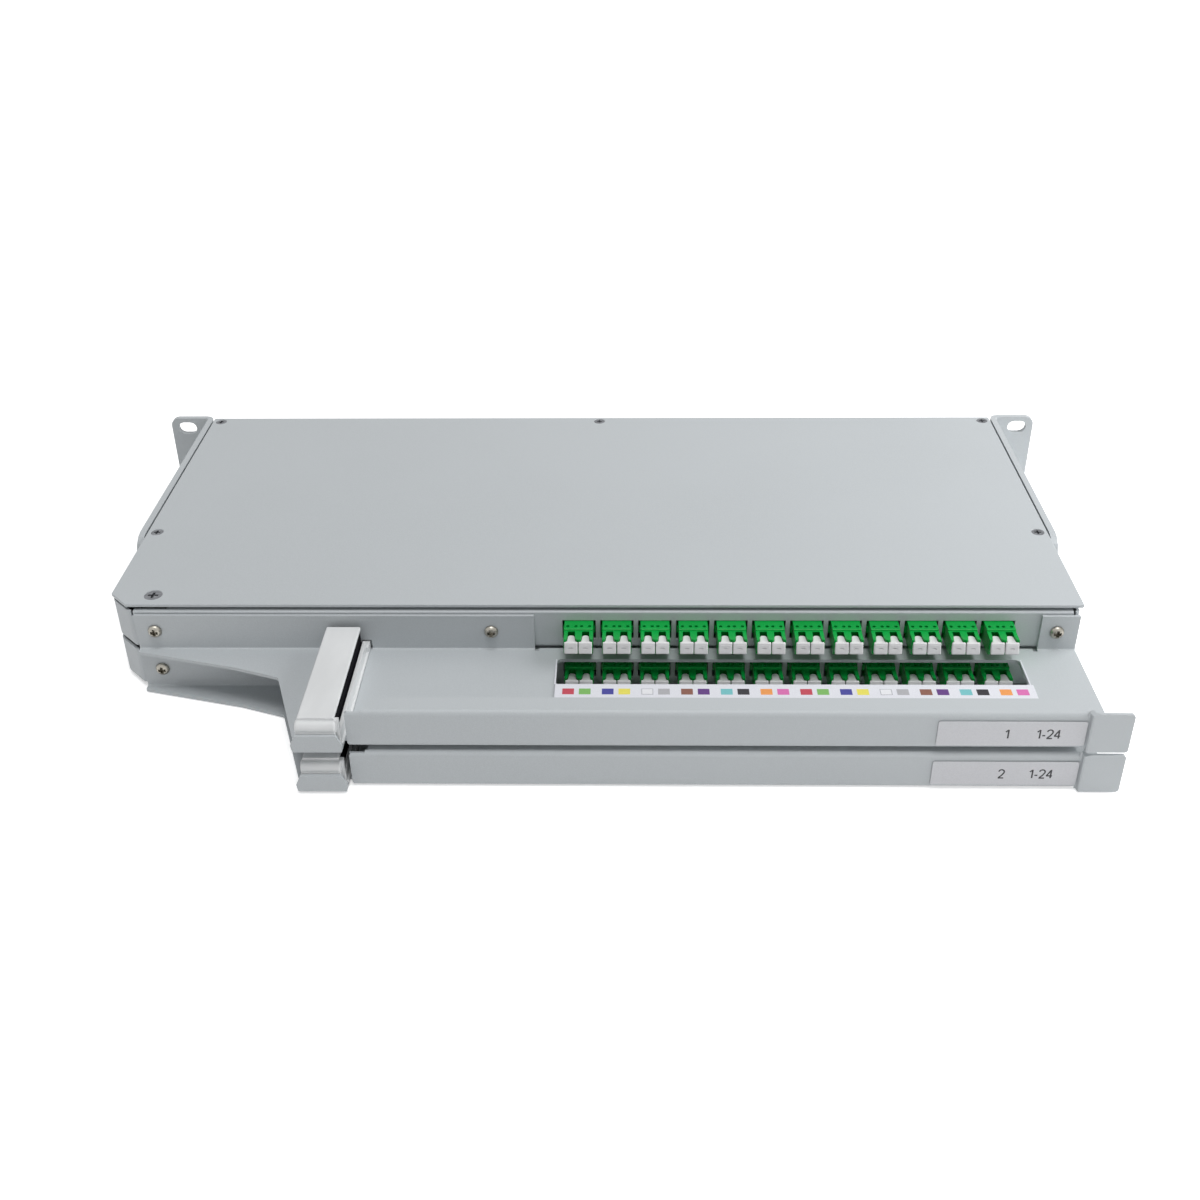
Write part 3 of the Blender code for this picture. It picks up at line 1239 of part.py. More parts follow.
clear_scene()
PARTS = make_collection("patch_panel")
CUTTERS = make_collection("cutters")
SWINGS = {number: add_swing(number) for number in range(1, TRAY_COUNT + 1)}
build_base()
build_cover()
build_cover_screws()
build_bracket(-1, "bracket_left")
build_bracket(1, "bracket_right")
build_pivot_post()
build_grommets()
build_cable_anchor()
for number in SWINGS:
    build_tray(number)
    build_bush(number)
    build_shelf(number)
    build_shelf_screws(number)
    for adapter, adapter_x in enumerate(adapter_places(), 1):
        build_adapter(number, adapter, adapter_x)
    build_guide(number)
    build_foam(number)
    build_label(number)
    build_cassette(number)
build_strip()
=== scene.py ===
"""Looks of a fibre patch panel with two swing-out trays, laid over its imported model.

The sizes of the pieces are in millimetres and are scaled to metres where a piece is
made. X runs to the right, Y to the back and Z up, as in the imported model. A depth is
counted forwards from the housing's rear face, which lies at REAR_Y. PIVOT is the X and
the depth of the post. A cutter passes the material by CLEAR, and MERGE is the distance
below which two points count as one.
"""

from __future__ import annotations

import logging
import math
from dataclasses import dataclass, field
from enum import Enum
from typing import Callable, Iterable, Sequence

import bmesh
import bpy
from mathutils import Matrix, Vector


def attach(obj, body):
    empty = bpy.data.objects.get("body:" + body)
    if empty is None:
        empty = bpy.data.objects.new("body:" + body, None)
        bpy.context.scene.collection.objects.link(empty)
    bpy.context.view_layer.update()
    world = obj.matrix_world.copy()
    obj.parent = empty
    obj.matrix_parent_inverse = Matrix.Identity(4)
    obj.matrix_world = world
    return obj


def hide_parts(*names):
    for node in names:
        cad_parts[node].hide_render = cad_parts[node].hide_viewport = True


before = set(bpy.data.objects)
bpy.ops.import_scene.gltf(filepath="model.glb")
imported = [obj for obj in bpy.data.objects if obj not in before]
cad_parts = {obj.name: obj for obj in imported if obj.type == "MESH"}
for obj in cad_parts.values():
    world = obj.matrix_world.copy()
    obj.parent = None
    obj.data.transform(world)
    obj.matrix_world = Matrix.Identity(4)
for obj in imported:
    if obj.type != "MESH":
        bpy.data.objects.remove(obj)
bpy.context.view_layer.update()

LOG = logging.getLogger("patch_panel")
Point = tuple[float, float]
Outline = list[Point]
Solid = bmesh.types.BMesh
Number = float | int

MM = 0.001
REAR_Y = 135.2
PANEL_HEIGHT = 43.6
PIVOT: Point = (-196.8, 188.1)
TRAY_FRONT = 197.0
SHELF_SCREWS = (-195.0, -44.6, 205.0)
SCREW_RISE = 9.6
SCREW_HOLE = 2.3
MERGE = 0.01
CLEAR = 2.0
WALL_ANGLE = math.radians(20)
SHARP_ANGLE = math.radians(35)
WHITE = (1.0, 1.0, 1.0, 1.0)


class Axis(Enum):
    """Direction that a flat outline is extruded along."""

    X = "X"
    Y = "Y"
    Z = "Z"


class Level(Enum):
    """The two trays, named by where they lie."""

    UPPER = 1
    LOWER = 2

    @property
    def floor(self) -> float:
        """Height of the tray's underside."""
        return 21.8 if self is Level.UPPER else 1.5

    @property
    def body(self) -> str:
        """Name of the body that the tray's pieces ride on."""
        return "upper_tray" if self is Level.UPPER else "lower_tray"


def ahead(depth: float) -> float:
    """Return the Y of a place this far ahead of the housing's rear face."""
    return REAR_Y - depth


# Shader maths


@dataclass(frozen=True)
class Signal:
    """A socket of a shader graph, on which Python's operators add Math nodes."""

    graph: ShaderGraph
    socket: bpy.types.NodeSocket

    def _math(self, operation: str, other: Signal | Number) -> Signal:
        """Add one Math node.

        Args:
            operation: The Math node's operation.
            other: Its second value, after this signal.

        Returns:
            The node's result.
        """
        return self.graph.node("ShaderNodeMath", 0, {0: self, 1: other}, operation=operation)

    def __add__(self, other: Signal | Number) -> Signal:
        """Add."""
        return self._math("ADD", other)

    __radd__ = __add__

    def __mul__(self, other: Signal | Number) -> Signal:
        """Multiply."""
        return self._math("MULTIPLY", other)

    __rmul__ = __mul__

    def between(self, low: float, high: float) -> Signal:
        """Fade smoothly from 0 at one value to 1 at another.

        Args:
            low: The value that gives 0.
            high: The value that gives 1.

        Returns:
            The faded signal.
        """
        return self.graph.node("ShaderNodeMapRange", "Result",
                               {"Value": self, "From Min": low, "From Max": high},
                               interpolation_type="SMOOTHSTEP")


@dataclass(frozen=True)
class Colour:
    """An sRGB colour with channels from 0 to 255."""

    red: float
    green: float
    blue: float

    def linear(self, shade: float) -> tuple[float, float, float, float]:
        """Convert to a linear colour.

        Args:
            shade: Factor on the linear value.

        Returns:
            The linear channels with an alpha of 1.
        """
        def channel(value: float) -> float:
            """Convert one channel.

            Args:
                value: The channel, from 0 to 255.

            Returns:
                The linear channel.
            """
            part = value / 255
            part = part / 12.92 if part <= 0.04045 else ((part + 0.055) / 1.055) ** 2.4
            return part * shade

        return channel(self.red), channel(self.green), channel(self.blue), 1.0

    def shades(self, low: float, high: float) -> list[tuple[float, float, float, float]]:
        """Return the colour in two shades, the darker one first."""
        return [self.linear(low), self.linear(high)]


class ShaderGraph:
    """Nodes of a material or a world, with one method that adds any of them."""

    def __init__(self, owner: bpy.types.Material | bpy.types.World) -> None:
        """Start with the nodes that the owner brings.

        Args:
            owner: The material or the world.
        """
        owner.use_nodes = True
        self.owner, self.tree = owner, owner.node_tree

    def feed(self, socket: bpy.types.NodeSocket, value: object) -> None:
        """Link a signal to a socket, or set the socket to a value.

        Args:
            socket: The socket.
            value: The signal or the value.
        """
        if isinstance(value, Signal):
            self.tree.links.new(value.socket, socket)
        else:
            socket.default_value = value

    def node(self, kind: str, output: int | str,
             values: dict[int | str, object] | None = None, **settings: object) -> Signal:
        """Add a node.

        Args:
            kind: The node's type.
            output: The output that is wanted.
            values: Its sockets' values or signals.
            **settings: Its settings, which are set first.

        Returns:
            The output.
        """
        node = self.tree.nodes.new(kind)
        for name, setting in settings.items():
            setattr(node, name, setting)
        for name, value in (values or {}).items():
            self.feed(node.inputs[name], value)
        return Signal(self, node.outputs[output])

    def seen(self) -> Signal:
        """Tell which rays see the background at its full brightness.

        Returns:
            1 for rays from the camera or a mirroring surface, and 0 for the others.
        """
        camera, glossy = (self.node("ShaderNodeLightPath", f"Is {ray} Ray")
                          for ray in ("Camera", "Glossy"))
        return camera + glossy

    def place(self, stretch: Sequence[float] = (1.0, 1.0, 1.0)) -> Signal:
        """Give the place on the object in metres, stretched along the axes."""
        place = self.node("ShaderNodeTexCoord", "Object")
        return self.node("ShaderNodeMapping", "Vector", {"Vector": place, "Scale": stretch})

    def noise(self, scale: float, detail: float = 2.0,
              stretch: Sequence[float] = (1.0, 1.0, 1.0)) -> Signal:
        """Add cloudy noise.

        Args:
            scale: Clouds in a metre.
            detail: Octaves.
            stretch: Factors on the place along each axis.

        Returns:
            A signal from 0 to 1.
        """
        return self.node("ShaderNodeTexNoise", "Fac",
                         {"Vector": self.place(stretch), "Scale": scale, "Detail": detail})

    def cells(self, scale: float) -> Signal:
        """Add the distance to the nearest of many scattered cells."""
        return self.node("ShaderNodeTexVoronoi", "Distance",
                         {"Vector": self.place(), "Scale": scale})

    def mix(self, factor: Signal, first: object, second: object) -> Signal:
        """Mix two colours.

        Args:
            factor: 0 gives the first, 1 the second.
            first: A colour or a signal.
            second: A colour or a signal.

        Returns:
            The mixed colour.
        """
        return self.node("ShaderNodeMix", 2, {0: factor, 6: first, 7: second},
                         data_type="RGBA")

    def bump(self, height: Signal, distance: float, strength: float) -> Signal:
        """Turn a height into a normal.

        Args:
            height: The height, from 0 to 1.
            distance: How many metres the height stands for.
            strength: How strongly it shows.

        Returns:
            The normal.
        """
        return self.node("ShaderNodeBump", "Normal", {
            "Height": height, "Distance": distance, "Strength": strength})

    def surface(self, **values: object) -> bpy.types.Material:
        """Set the Principled shader's sockets by name, with _ for a space.

        Args:
            **values: Values or signals.

        Returns:
            The material.
        """
        shader = self.tree.nodes["Principled BSDF"]
        for name, value in values.items():
            self.feed(shader.inputs[name.replace("_", " ")], value)
        return self.owner


# Finishes


@dataclass(frozen=True)
class PowderCoat:
    """Fine-grained powder coat on sheet metal."""

    colour: Colour = Colour(186, 191, 194)
    slot: str = "grey_coat"
    roughness: float = 0.42
    grain: float = 2600.0

    def material(self, name: str) -> bpy.types.Material:
        """Make the coat's material.

        Args:
            name: The material's name.

        Returns:
            The material.
        """
        graph = ShaderGraph(bpy.data.materials.new(name))
        cloud = graph.noise(9.0, 3.0).between(0.35, 0.65)
        grain = graph.noise(self.grain, 2.0)
        tone = graph.mix(cloud, *self.colour.shades(0.965, 1.0))
        tone = graph.mix(grain.between(0.3, 0.75), tone, self.colour.linear(1.05))
        return graph.surface(Base_Color=tone, Roughness=self.roughness + grain * 0.12,
                             Normal=graph.bump(grain, 0.00005, 0.35))


@dataclass(frozen=True)
class Moulding:
    """Injection-moulded plastic with faint flow clouds and a fine spark texture."""

    colour: Colour
    slot: str
    roughness: float
    texture: float = 0.00002
    specular: float = 0.5

    def material(self, name: str) -> bpy.types.Material:
        """Make the plastic's material.

        Args:
            name: The material's name.

        Returns:
            The material.
        """
        graph = ShaderGraph(bpy.data.materials.new(name))
        flow = graph.noise(60.0, 3.0, (1.0, 0.4, 1.0)).between(0.3, 0.7)
        spark = graph.noise(3200.0, 1.0)
        tone = graph.mix(flow, *self.colour.shades(0.94, 1.03))
        return graph.surface(Base_Color=tone, Roughness=self.roughness + spark * 0.1,
                             Specular_IOR_Level=self.specular,
                             Normal=graph.bump(spark, self.texture, 0.5))


@dataclass(frozen=True)
class PlatedSteel:
    """Nickel-plated steel with turning marks."""

    colour: Colour = Colour(176, 172, 162)
    slot: str = "screw_nickel"
    roughness: float = 0.3

    def material(self, name: str) -> bpy.types.Material:
        """Make the plating's material.

        Args:
            name: The material's name.

        Returns:
            The material.
        """
        graph = ShaderGraph(bpy.data.materials.new(name))
        stain = graph.noise(500.0, 4.0).between(0.35, 0.7)
        marks = graph.noise(4000.0, 1.0, (1.0, 1.0, 6.0))
        tone = graph.mix(stain, *self.colour.shades(0.8, 1.1))
        return graph.surface(Base_Color=tone, Metallic=1.0,
                             Roughness=self.roughness + marks * 0.15,
                             Normal=graph.bump(marks, 0.00001, 0.5))


@dataclass(frozen=True)
class OpenFoam:
    """Soft black foam with open cells."""

    colour: Colour = Colour(15, 15, 19)
    slot: str = "black_foam"

    def material(self, name: str) -> bpy.types.Material:
        """Make the foam's material.

        Args:
            name: The material's name.

        Returns:
            The material.
        """
        graph = ShaderGraph(bpy.data.materials.new(name))
        cells = graph.cells(1400.0)
        tone = graph.mix(cells.between(0.1, 0.7), *self.colour.shades(0.45, 1.5))
        return graph.surface(Base_Color=tone, Roughness=0.95, Specular_IOR_Level=0.08,
                             Normal=graph.bump(cells, 0.0003, 1.0))


@dataclass(frozen=True)
class Rubber:
    """Matt black rubber with a dusty bloom."""

    colour: Colour = Colour(34, 34, 37)
    slot: str = "black_rubber"

    def material(self, name: str) -> bpy.types.Material:
        """Make the rubber's material.

        Args:
            name: The material's name.

        Returns:
            The material.
        """
        graph = ShaderGraph(bpy.data.materials.new(name))
        bloom = graph.noise(120.0, 4.0).between(0.4, 0.7)
        tone = graph.mix(bloom, *self.colour.shades(1.0, 1.7))
        return graph.surface(Base_Color=tone, Roughness=0.62 + bloom * 0.2,
                             Normal=graph.bump(graph.noise(1500.0), 0.00004, 0.6))


@dataclass(frozen=True)
class PrintedFilm:
    """Satin film or ink with a faint weave."""

    colour: Colour
    slot: str = "label_film"
    roughness: float = 0.4

    def material(self, name: str) -> bpy.types.Material:
        """Make the film's material.

        Args:
            name: The material's name.

        Returns:
            The material.
        """
        graph = ShaderGraph(bpy.data.materials.new(name))
        weave = graph.noise(1800.0, 3.0, (1.0, 1.0, 2.0))
        tone = graph.mix(weave.between(0.3, 0.7), *self.colour.shades(0.95, 1.02))
        return graph.surface(Base_Color=tone, Roughness=self.roughness + weave * 0.1,
                             Normal=graph.bump(weave, 0.00001, 0.3))


COAT = PowderCoat()
NICKEL = PlatedSteel()
ZINC = PlatedSteel(Colour(134, 136, 140), roughness=0.42)
GREEN = Moulding(Colour(2, 160, 66), "green_plastic", 0.24, specular=0.25)
CAP_WHITE = Moulding(Colour(226, 226, 227), "white_plastic", 0.38)
GUIDE_WHITE = Moulding(Colour(221, 223, 224), "white_plastic", 0.36)
DARK_PLASTIC = Moulding(Colour(58, 60, 64), "dark_plastic", 0.45)
FOAM = OpenFoam()
RUBBER = Rubber()
LABEL = PrintedFilm(Colour(205, 206, 210))
STRIP = PrintedFilm(Colour(226, 227, 234))
INK = PrintedFilm(Colour(40, 40, 44))
Finish = PowderCoat | Moulding | PlatedSteel | OpenFoam | Rubber | PrintedFilm


# Outlines


def rectangle(low: Point, high: Point) -> Outline:
    """Return a rectangle's outline from its low and high corners."""
    return [low, (high[0], low[1]), high, (low[0], high[1])]


def arc(centre: Point, radius: float, start: float, end: float, steps: int) -> Outline:
    """Return the points along an arc.

    Args:
        centre: Its centre.
        radius: Its radius.
        start: Its first angle in radians.
        end: Its last angle.
        steps: How many pieces it has.

    Returns:
        The points, both ends included.
    """
    angles = [start + (end - start) * step / steps for step in range(steps + 1)]
    return [(centre[0] + radius * math.cos(angle), centre[1] + radius * math.sin(angle))
            for angle in angles]


def circle(centre: Point, radius: float, sides: int = 32) -> Outline:
    """Return a circle's outline."""
    return arc(centre, radius, 0, math.tau * (1 - 1 / sides), sides - 1)


def fillet(points: Outline, radius: float, steps: int = 5,
           corners: Iterable[int] | None = None) -> Outline:
    """Round corners of an outline.

    Args:
        points: The outline.
        radius: The corner radius.
        steps: How many pieces each corner has.
        corners: Which corners, or None for all.

    Returns:
        The rounded outline.
    """
    chosen = set(range(len(points)) if corners is None else corners)
    rounded: Outline = []
    for place, point in enumerate(points):
        if place not in chosen:
            rounded.append(point)
            continue
        corner = Vector(point)
        to_last = (Vector(points[place - 1]) - corner).normalized()
        to_next = (Vector(points[(place + 1) % len(points)]) - corner).normalized()
        half = to_last.angle(to_next) / 2
        centre = corner + (to_last + to_next).normalized() * radius / math.sin(half)
        start = corner + to_last * radius / math.tan(half) - centre
        end = corner + to_next * radius / math.tan(half) - centre
        turn = math.atan2(start.cross(end), start.dot(end))
        for step in range(steps + 1):
            spoke = Matrix.Rotation(turn * step / steps, 2) @ start
            rounded.append(tuple(centre + spoke))
    return [point for place, point in enumerate(rounded)
            if math.dist(point, rounded[place - 1]) > MERGE]


# Solids


def placed(name: str, data: bpy.types.ID) -> bpy.types.Object:
    """Put a mesh, a curve, a light or a camera in a new object of the scene.

    Args:
        name: The object's name.
        data: What the object shows.

    Returns:
        The object.
    """
    item = bpy.data.objects.new(name, data)
    bpy.context.scene.collection.objects.link(item)
    return item


def evaluated(item: bpy.types.Object) -> Solid:
    """Take an object's shape after its modifiers, and remove the object.

    Args:
        item: The object.

    Returns:
        The shape.
    """
    bpy.context.view_layer.update()
    graph = bpy.context.evaluated_depsgraph_get()
    mesh = bpy.data.meshes.new_from_object(item.evaluated_get(graph))
    solid = bmesh.new()
    solid.from_mesh(mesh)
    bmesh.ops.remove_doubles(solid, verts=solid.verts, dist=MERGE / 10)
    bpy.data.meshes.remove(mesh)
    bpy.data.objects.remove(item, do_unlink=True)
    return solid


def holder(solid: Solid) -> bpy.types.Object:
    """Put a shape in an object that modifiers can work on, and free the shape.

    Args:
        solid: The shape.

    Returns:
        The object.
    """
    mesh = bpy.data.meshes.new("blank")
    solid.to_mesh(mesh)
    solid.free()
    return placed("blank", mesh)


def face_out(solid: Solid) -> Solid:
    """Turn every face of a closed shape outwards.

    Args:
        solid: The shape.

    Returns:
        The same shape.
    """
    bmesh.ops.recalc_face_normals(solid, faces=solid.faces)
    if solid.calc_volume(signed=True) < 0:
        bmesh.ops.reverse_faces(solid, faces=solid.faces)
    return solid


def drawn(strokes: Iterable[Sequence[Sequence[float]]], closed: bool,
          **settings: object) -> Solid:
    """Draw strokes as a curve and return its shape.

    Args:
        strokes: The points of each stroke.
        closed: Whether each stroke returns to its start.
        **settings: The curve's settings.

    Returns:
        The shape.
    """
    curve = bpy.data.curves.new("strokes", "CURVE")
    for name, setting in settings.items():
        setattr(curve, name, setting)
    for stroke in strokes:
        spline = curve.splines.new("POLY")
        spline.points.add(len(stroke) - 1)
        spline.use_cyclic_u = closed
        for point, spot in zip(spline.points, stroke):
            point.co = (*spot, 1)
    return evaluated(placed("strokes", curve))


def prism(outline: Outline, low: float, high: float, axis: Axis = Axis.Z,
          holes: Sequence[Outline] = ()) -> Solid:
    """Extrude a flat outline.

    Args:
        outline: The outline, in the two axes that the extrusion leaves.
        low: Where it starts.
        high: Where it ends.
        axis: Along what.
        holes: Outlines that are left open.

    Returns:
        The solid.
    """
    rings = [[(*spot, 0) for spot in ring] for ring in (outline, *holes)]
    solid = drawn(rings, True, dimensions="2D", fill_mode="BOTH", extrude=(high - low) / 2)
    middle = (high + low) / 2
    for vert in solid.verts:
        across, up, along = vert.co
        along += middle
        vert.co = {Axis.X: (along, across, up), Axis.Y: (across, along, up),
                   Axis.Z: (across, up, along)}[axis]
    solid.normal_update()
    bmesh.ops.dissolve_limit(solid, angle_limit=0.001, verts=solid.verts, edges=solid.edges)
    return face_out(solid)


def block(low: Sequence[float], high: Sequence[float]) -> Solid:
    """Make a block between two corners.

    Args:
        low: The corner with the least x, y and z.
        high: The opposite corner.

    Returns:
        The block.
    """
    solid = bmesh.new()
    bmesh.ops.create_cube(solid, size=1)
    size = Vector(high) - Vector(low)
    bmesh.ops.scale(solid, verts=solid.verts, vec=size)
    bmesh.ops.translate(solid, verts=solid.verts, vec=Vector(low) + size / 2)
    return solid


def turned(profile: Sequence[Point], sides: int = 32) -> Solid:
    """Spin a profile, which starts and ends on the axis, about Z.

    Args:
        profile: Pairs of radius and height.
        sides: Facets round the axis.

    Returns:
        The solid.
    """
    solid = bmesh.new()
    rings = []
    for radius, height in profile:
        if radius < MERGE:
            rings.append([solid.verts.new((0, 0, height))])
        else:
            rings.append([solid.verts.new((*spot, height))
                          for spot in circle((0, 0), radius, sides)])
    for first, second in zip(rings, rings[1:]):
        for side in range(sides):
            corners = [first[side % len(first)], first[(side + 1) % len(first)],
                       second[(side + 1) % len(second)], second[side % len(second)]]
            solid.faces.new(list(dict.fromkeys(corners)))
    return face_out(solid)


def moved(solid: Solid, place: Sequence[float] = (0, 0, 0),
          axis: Axis = Axis.Z, flip: bool = False) -> Solid:
    """Turn a shape's own Z onto an axis and move it.

    Args:
        solid: The shape.
        place: Where its origin goes.
        axis: X, Y for towards the front, or Z.
        flip: Whether it points the other way.

    Returns:
        The same shape.
    """
    turn = {Axis.X: Matrix.Rotation(math.pi / 2, 4, "Y"),
            Axis.Y: Matrix.Rotation(math.pi / 2, 4, "X"), Axis.Z: Matrix()}[axis]
    turn = turn @ (Matrix.Rotation(math.pi, 4, "X") if flip else Matrix())
    solid.transform(Matrix.Translation(place) @ turn)
    return solid


def merged(*solids: Solid) -> Solid:
    """Gather several shapes in one, and free them.

    Args:
        *solids: The shapes.

    Returns:
        The one shape.
    """
    whole = bmesh.new()
    for solid in solids:
        twins = {vert: whole.verts.new(vert.co) for vert in solid.verts}
        for face in solid.faces:
            whole.faces.new([twins[vert] for vert in face.verts])
        solid.free()
    return whole


def repeated(solid: Solid, offsets: Iterable[Sequence[float]]) -> Solid:
    """Copy a shape to several places, and free the shape.

    Args:
        solid: The shape.
        offsets: How far each copy is moved.

    Returns:
        The copies in one shape.
    """
    copies = []
    for offset in offsets:
        copy = solid.copy()
        bmesh.ops.translate(copy, verts=copy.verts, vec=offset)
        copies.append(copy)
    solid.free()
    return merged(*copies)


def corner_cut(corner: Point, run: Point, radius: float, low: float, high: float,
               axis: Axis) -> Solid:
    """Return a cutter that rounds a square corner.

    Args:
        corner: The corner, in the two axes that the cutter's axis leaves.
        run: 1 or -1 along each of them, pointing into the material.
        radius: The corner's radius.
        low: Where the cutter starts.
        high: Where it ends.
        axis: Along what it cuts.

    Returns:
        The cutter.
    """
    centre = (corner[0] + run[0] * radius, corner[1] + run[1] * radius)
    start = math.atan2(-run[1], 0)
    turn = (math.atan2(0, -run[0]) - start + math.pi) % math.tau - math.pi
    outside = [(corner[0] - run[0], corner[1] + run[1] * radius),
               (corner[0] - run[0], corner[1] - run[1]),
               (corner[0] + run[0] * radius, corner[1] - run[1])]
    return prism(arc(centre, radius, start, start + turn, 8) + outside, low, high, axis)


def combined(solid: Solid, others: Sequence[Solid], operation: str = "DIFFERENCE") -> Solid:
    """Cut solids out of a shape, or join them to it.

    Args:
        solid: The shape.
        others: Solids that lie clear of each other.
        operation: DIFFERENCE or UNION.

    Returns:
        The new shape.
    """
    item = holder(solid)
    tool = holder(merged(*others))
    modifier = item.modifiers.new("tool", "BOOLEAN")
    modifier.operation = operation
    modifier.object = tool
    result = evaluated(item)
    bpy.data.objects.remove(tool, do_unlink=True)
    return result


def softened(solid: Solid, width: float, segments: int, angle: float = 40.0) -> Solid:
    """Round a shape's sharp edges.

    Args:
        solid: The shape.
        width: The rounding's width.
        segments: How many facets it has.
        angle: Edges that turn more than this many degrees are rounded.

    Returns:
        The rounded shape.
    """
    item = holder(solid)
    bevel = item.modifiers.new("edges", "BEVEL")
    bevel.width = width
    bevel.segments = segments
    bevel.angle_limit = math.radians(angle)
    return evaluated(item)


# Folded sheet


def near(value: float, target: float) -> bool:
    """Tell whether a coordinate lies on a target."""
    return abs(value - target) < MERGE


class FoldedSheet:
    """The outer surface of a sheet-metal part, folded up from a flat blank."""

    def __init__(self, outline: Outline, height: float) -> None:
        """Start with the flat blank, its outer side down.

        Args:
            outline: The blank's outline.
            height: The height that it lies at.
        """
        self.surface = bmesh.new()
        self.weight = self.surface.edges.layers.float.new("bevel_weight_edge")
        self.surface.faces.new([self.surface.verts.new((*spot, height))
                                for spot in reversed(outline)])

    def free_edges(self, test: Callable[[float, float, float], bool]) -> list:
        """Return the free edges whose ends both pass a test on x, y and z."""
        return [edge for edge in self.surface.edges
                if edge.is_boundary and all(test(*vert.co) for vert in edge.verts)]

    def fold(self, edges: list, place: Callable[[float, float, float], Sequence[float]],
             bent: bool = True) -> list:
        """Extrude free edges.

        Args:
            edges: The edges.
            place: Where each of their ends goes.
            bent: Whether the edges become rounded bends.

        Returns:
            The new free edges.
        """
        for edge in edges:
            edge[self.weight] = 1.0 if bent else 0.0
        made = bmesh.ops.extrude_edge_only(self.surface, edges=edges)["geom"]
        verts = [item for item in made if isinstance(item, bmesh.types.BMVert)]
        fresh = [item for item in made if isinstance(item, bmesh.types.BMEdge)
                 and all(vert in verts for vert in item.verts)]
        for vert in verts:
            vert.co = place(*vert.co)
        for edge in fresh:
            edge[self.weight] = 0.0
        return fresh

    def bend_corners(self, height: float) -> None:
        """Mark the upright edges where walls meet as bends.

        Args:
            height: The walls' height.
        """
        bmesh.ops.recalc_face_normals(self.surface, faces=self.surface.faces)
        for edge in self.surface.edges:
            first, second = (vert.co for vert in edge.verts)
            upright = near(first.x, second.x) and near(first.y, second.y)
            full = near(abs(first.z - second.z), height)
            if upright and full and len(edge.link_faces) == 2:
                edge[self.weight] = float(edge.calc_face_angle(0) > WALL_ANGLE)

    def solid(self, thickness: float, bend: float, segments: int = 5) -> Solid:
        """Round the bends and give the sheet its thickness inwards.

        Args:
            thickness: The sheet's thickness.
            bend: The bends' outer radius.
            segments: Facets along each bend.

        Returns:
            The solid.
        """
        bmesh.ops.recalc_face_normals(self.surface, faces=self.surface.faces)
        lowest = min(self.surface.faces, key=lambda face: face.calc_center_median().z)
        if lowest.normal.z > 0:
            bmesh.ops.reverse_faces(self.surface, faces=self.surface.faces)
        item = holder(self.surface)
        bevel = item.modifiers.new("bends", "BEVEL")
        bevel.limit_method = "WEIGHT"
        bevel.width = bend
        bevel.segments = segments
        sheet = item.modifiers.new("sheet", "SOLIDIFY")
        sheet.thickness = thickness
        sheet.offset = -1
        sheet.use_even_offset = True
        return evaluated(item)


# Pieces


def piece(name: str, solid: Solid, finish: Finish, body: str,
          nodes: Sequence[str] = ()) -> None:
    """Make a piece of the object from a shape in millimetres.

    Args:
        name: The piece's name.
        solid: Its shape, which is freed.
        finish: Its finish.
        body: The body that it rides on.
        nodes: The CAD nodes that it stands for.
    """
    solid.transform(Matrix.Scale(MM, 4))
    mesh = bpy.data.meshes.new(name)
    solid.to_mesh(mesh)
    solid.free()
    mesh.shade_smooth()
    mesh.set_sharp_from_angle(angle=SHARP_ANGLE)
    mesh.materials.append(finish.material(name))
    item, slot = placed(name, mesh), finish.slot
    flats = item.modifiers.new("flats", "WEIGHTED_NORMAL")
    flats.keep_sharp = True
    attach(item, body)
    if nodes:
        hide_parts(*nodes)
    LOG.info("piece %s on %s", name, body)


def dress(nodes: Iterable[str], finish: Finish) -> None:
    """Give CAD nodes that stay visible their finish.

    Args:
        nodes: The nodes' names.
        finish: Their finish.
    """
    for name in nodes:
        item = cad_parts[name]
        material = finish.material(f"{name}_finish")
        for place in range(max(1, len(item.material_slots))):
            if place < len(item.material_slots):
                item.material_slots[place].material = material
            else:
                item.data.materials.append(material)
        LOG.info("dressed %s", name)


@dataclass(frozen=True)
class CrossScrew:
    """Screw head with a cross recess; its own Z points out of the head."""

    radius: float
    dome: float
    sink: float
    shank: float
    length: float
    recess: float = 1.7
    arm: float = 1.05
    least_dome: float = 0.4
    bite: Point = (0.75, 0.8)
    clear: float = 0.5
    edge: Point = (0.12, 50.0)
    steps: int = 8

    def shape(self) -> Solid:
        """Turn the head and the shank, and cut the cross recess.

        Returns:
            The screw's shape.
        """
        crown = [(self.radius * math.sin(angle), self.dome * math.cos(angle))
                 for angle in (math.radians(90 * step / self.steps)
                               for step in range(1, self.steps + 1))]
        head = turned([(0.0, self.dome), *crown, (self.shank, -self.sink),
                       (self.shank, -self.length), (0.0, -self.length)])
        depth = max(self.dome, self.least_dome) * self.bite[0] + self.bite[1]
        low, top, half = self.dome - depth, self.dome + self.clear, self.arm / 2
        for x, y, more in ((self.recess, half, 0.0), (half, self.recess, MERGE)):
            head = combined(head, [block((-x, -y, low - more), (x, y, top + more))])
        return softened(head, self.edge[0], 2, self.edge[1])


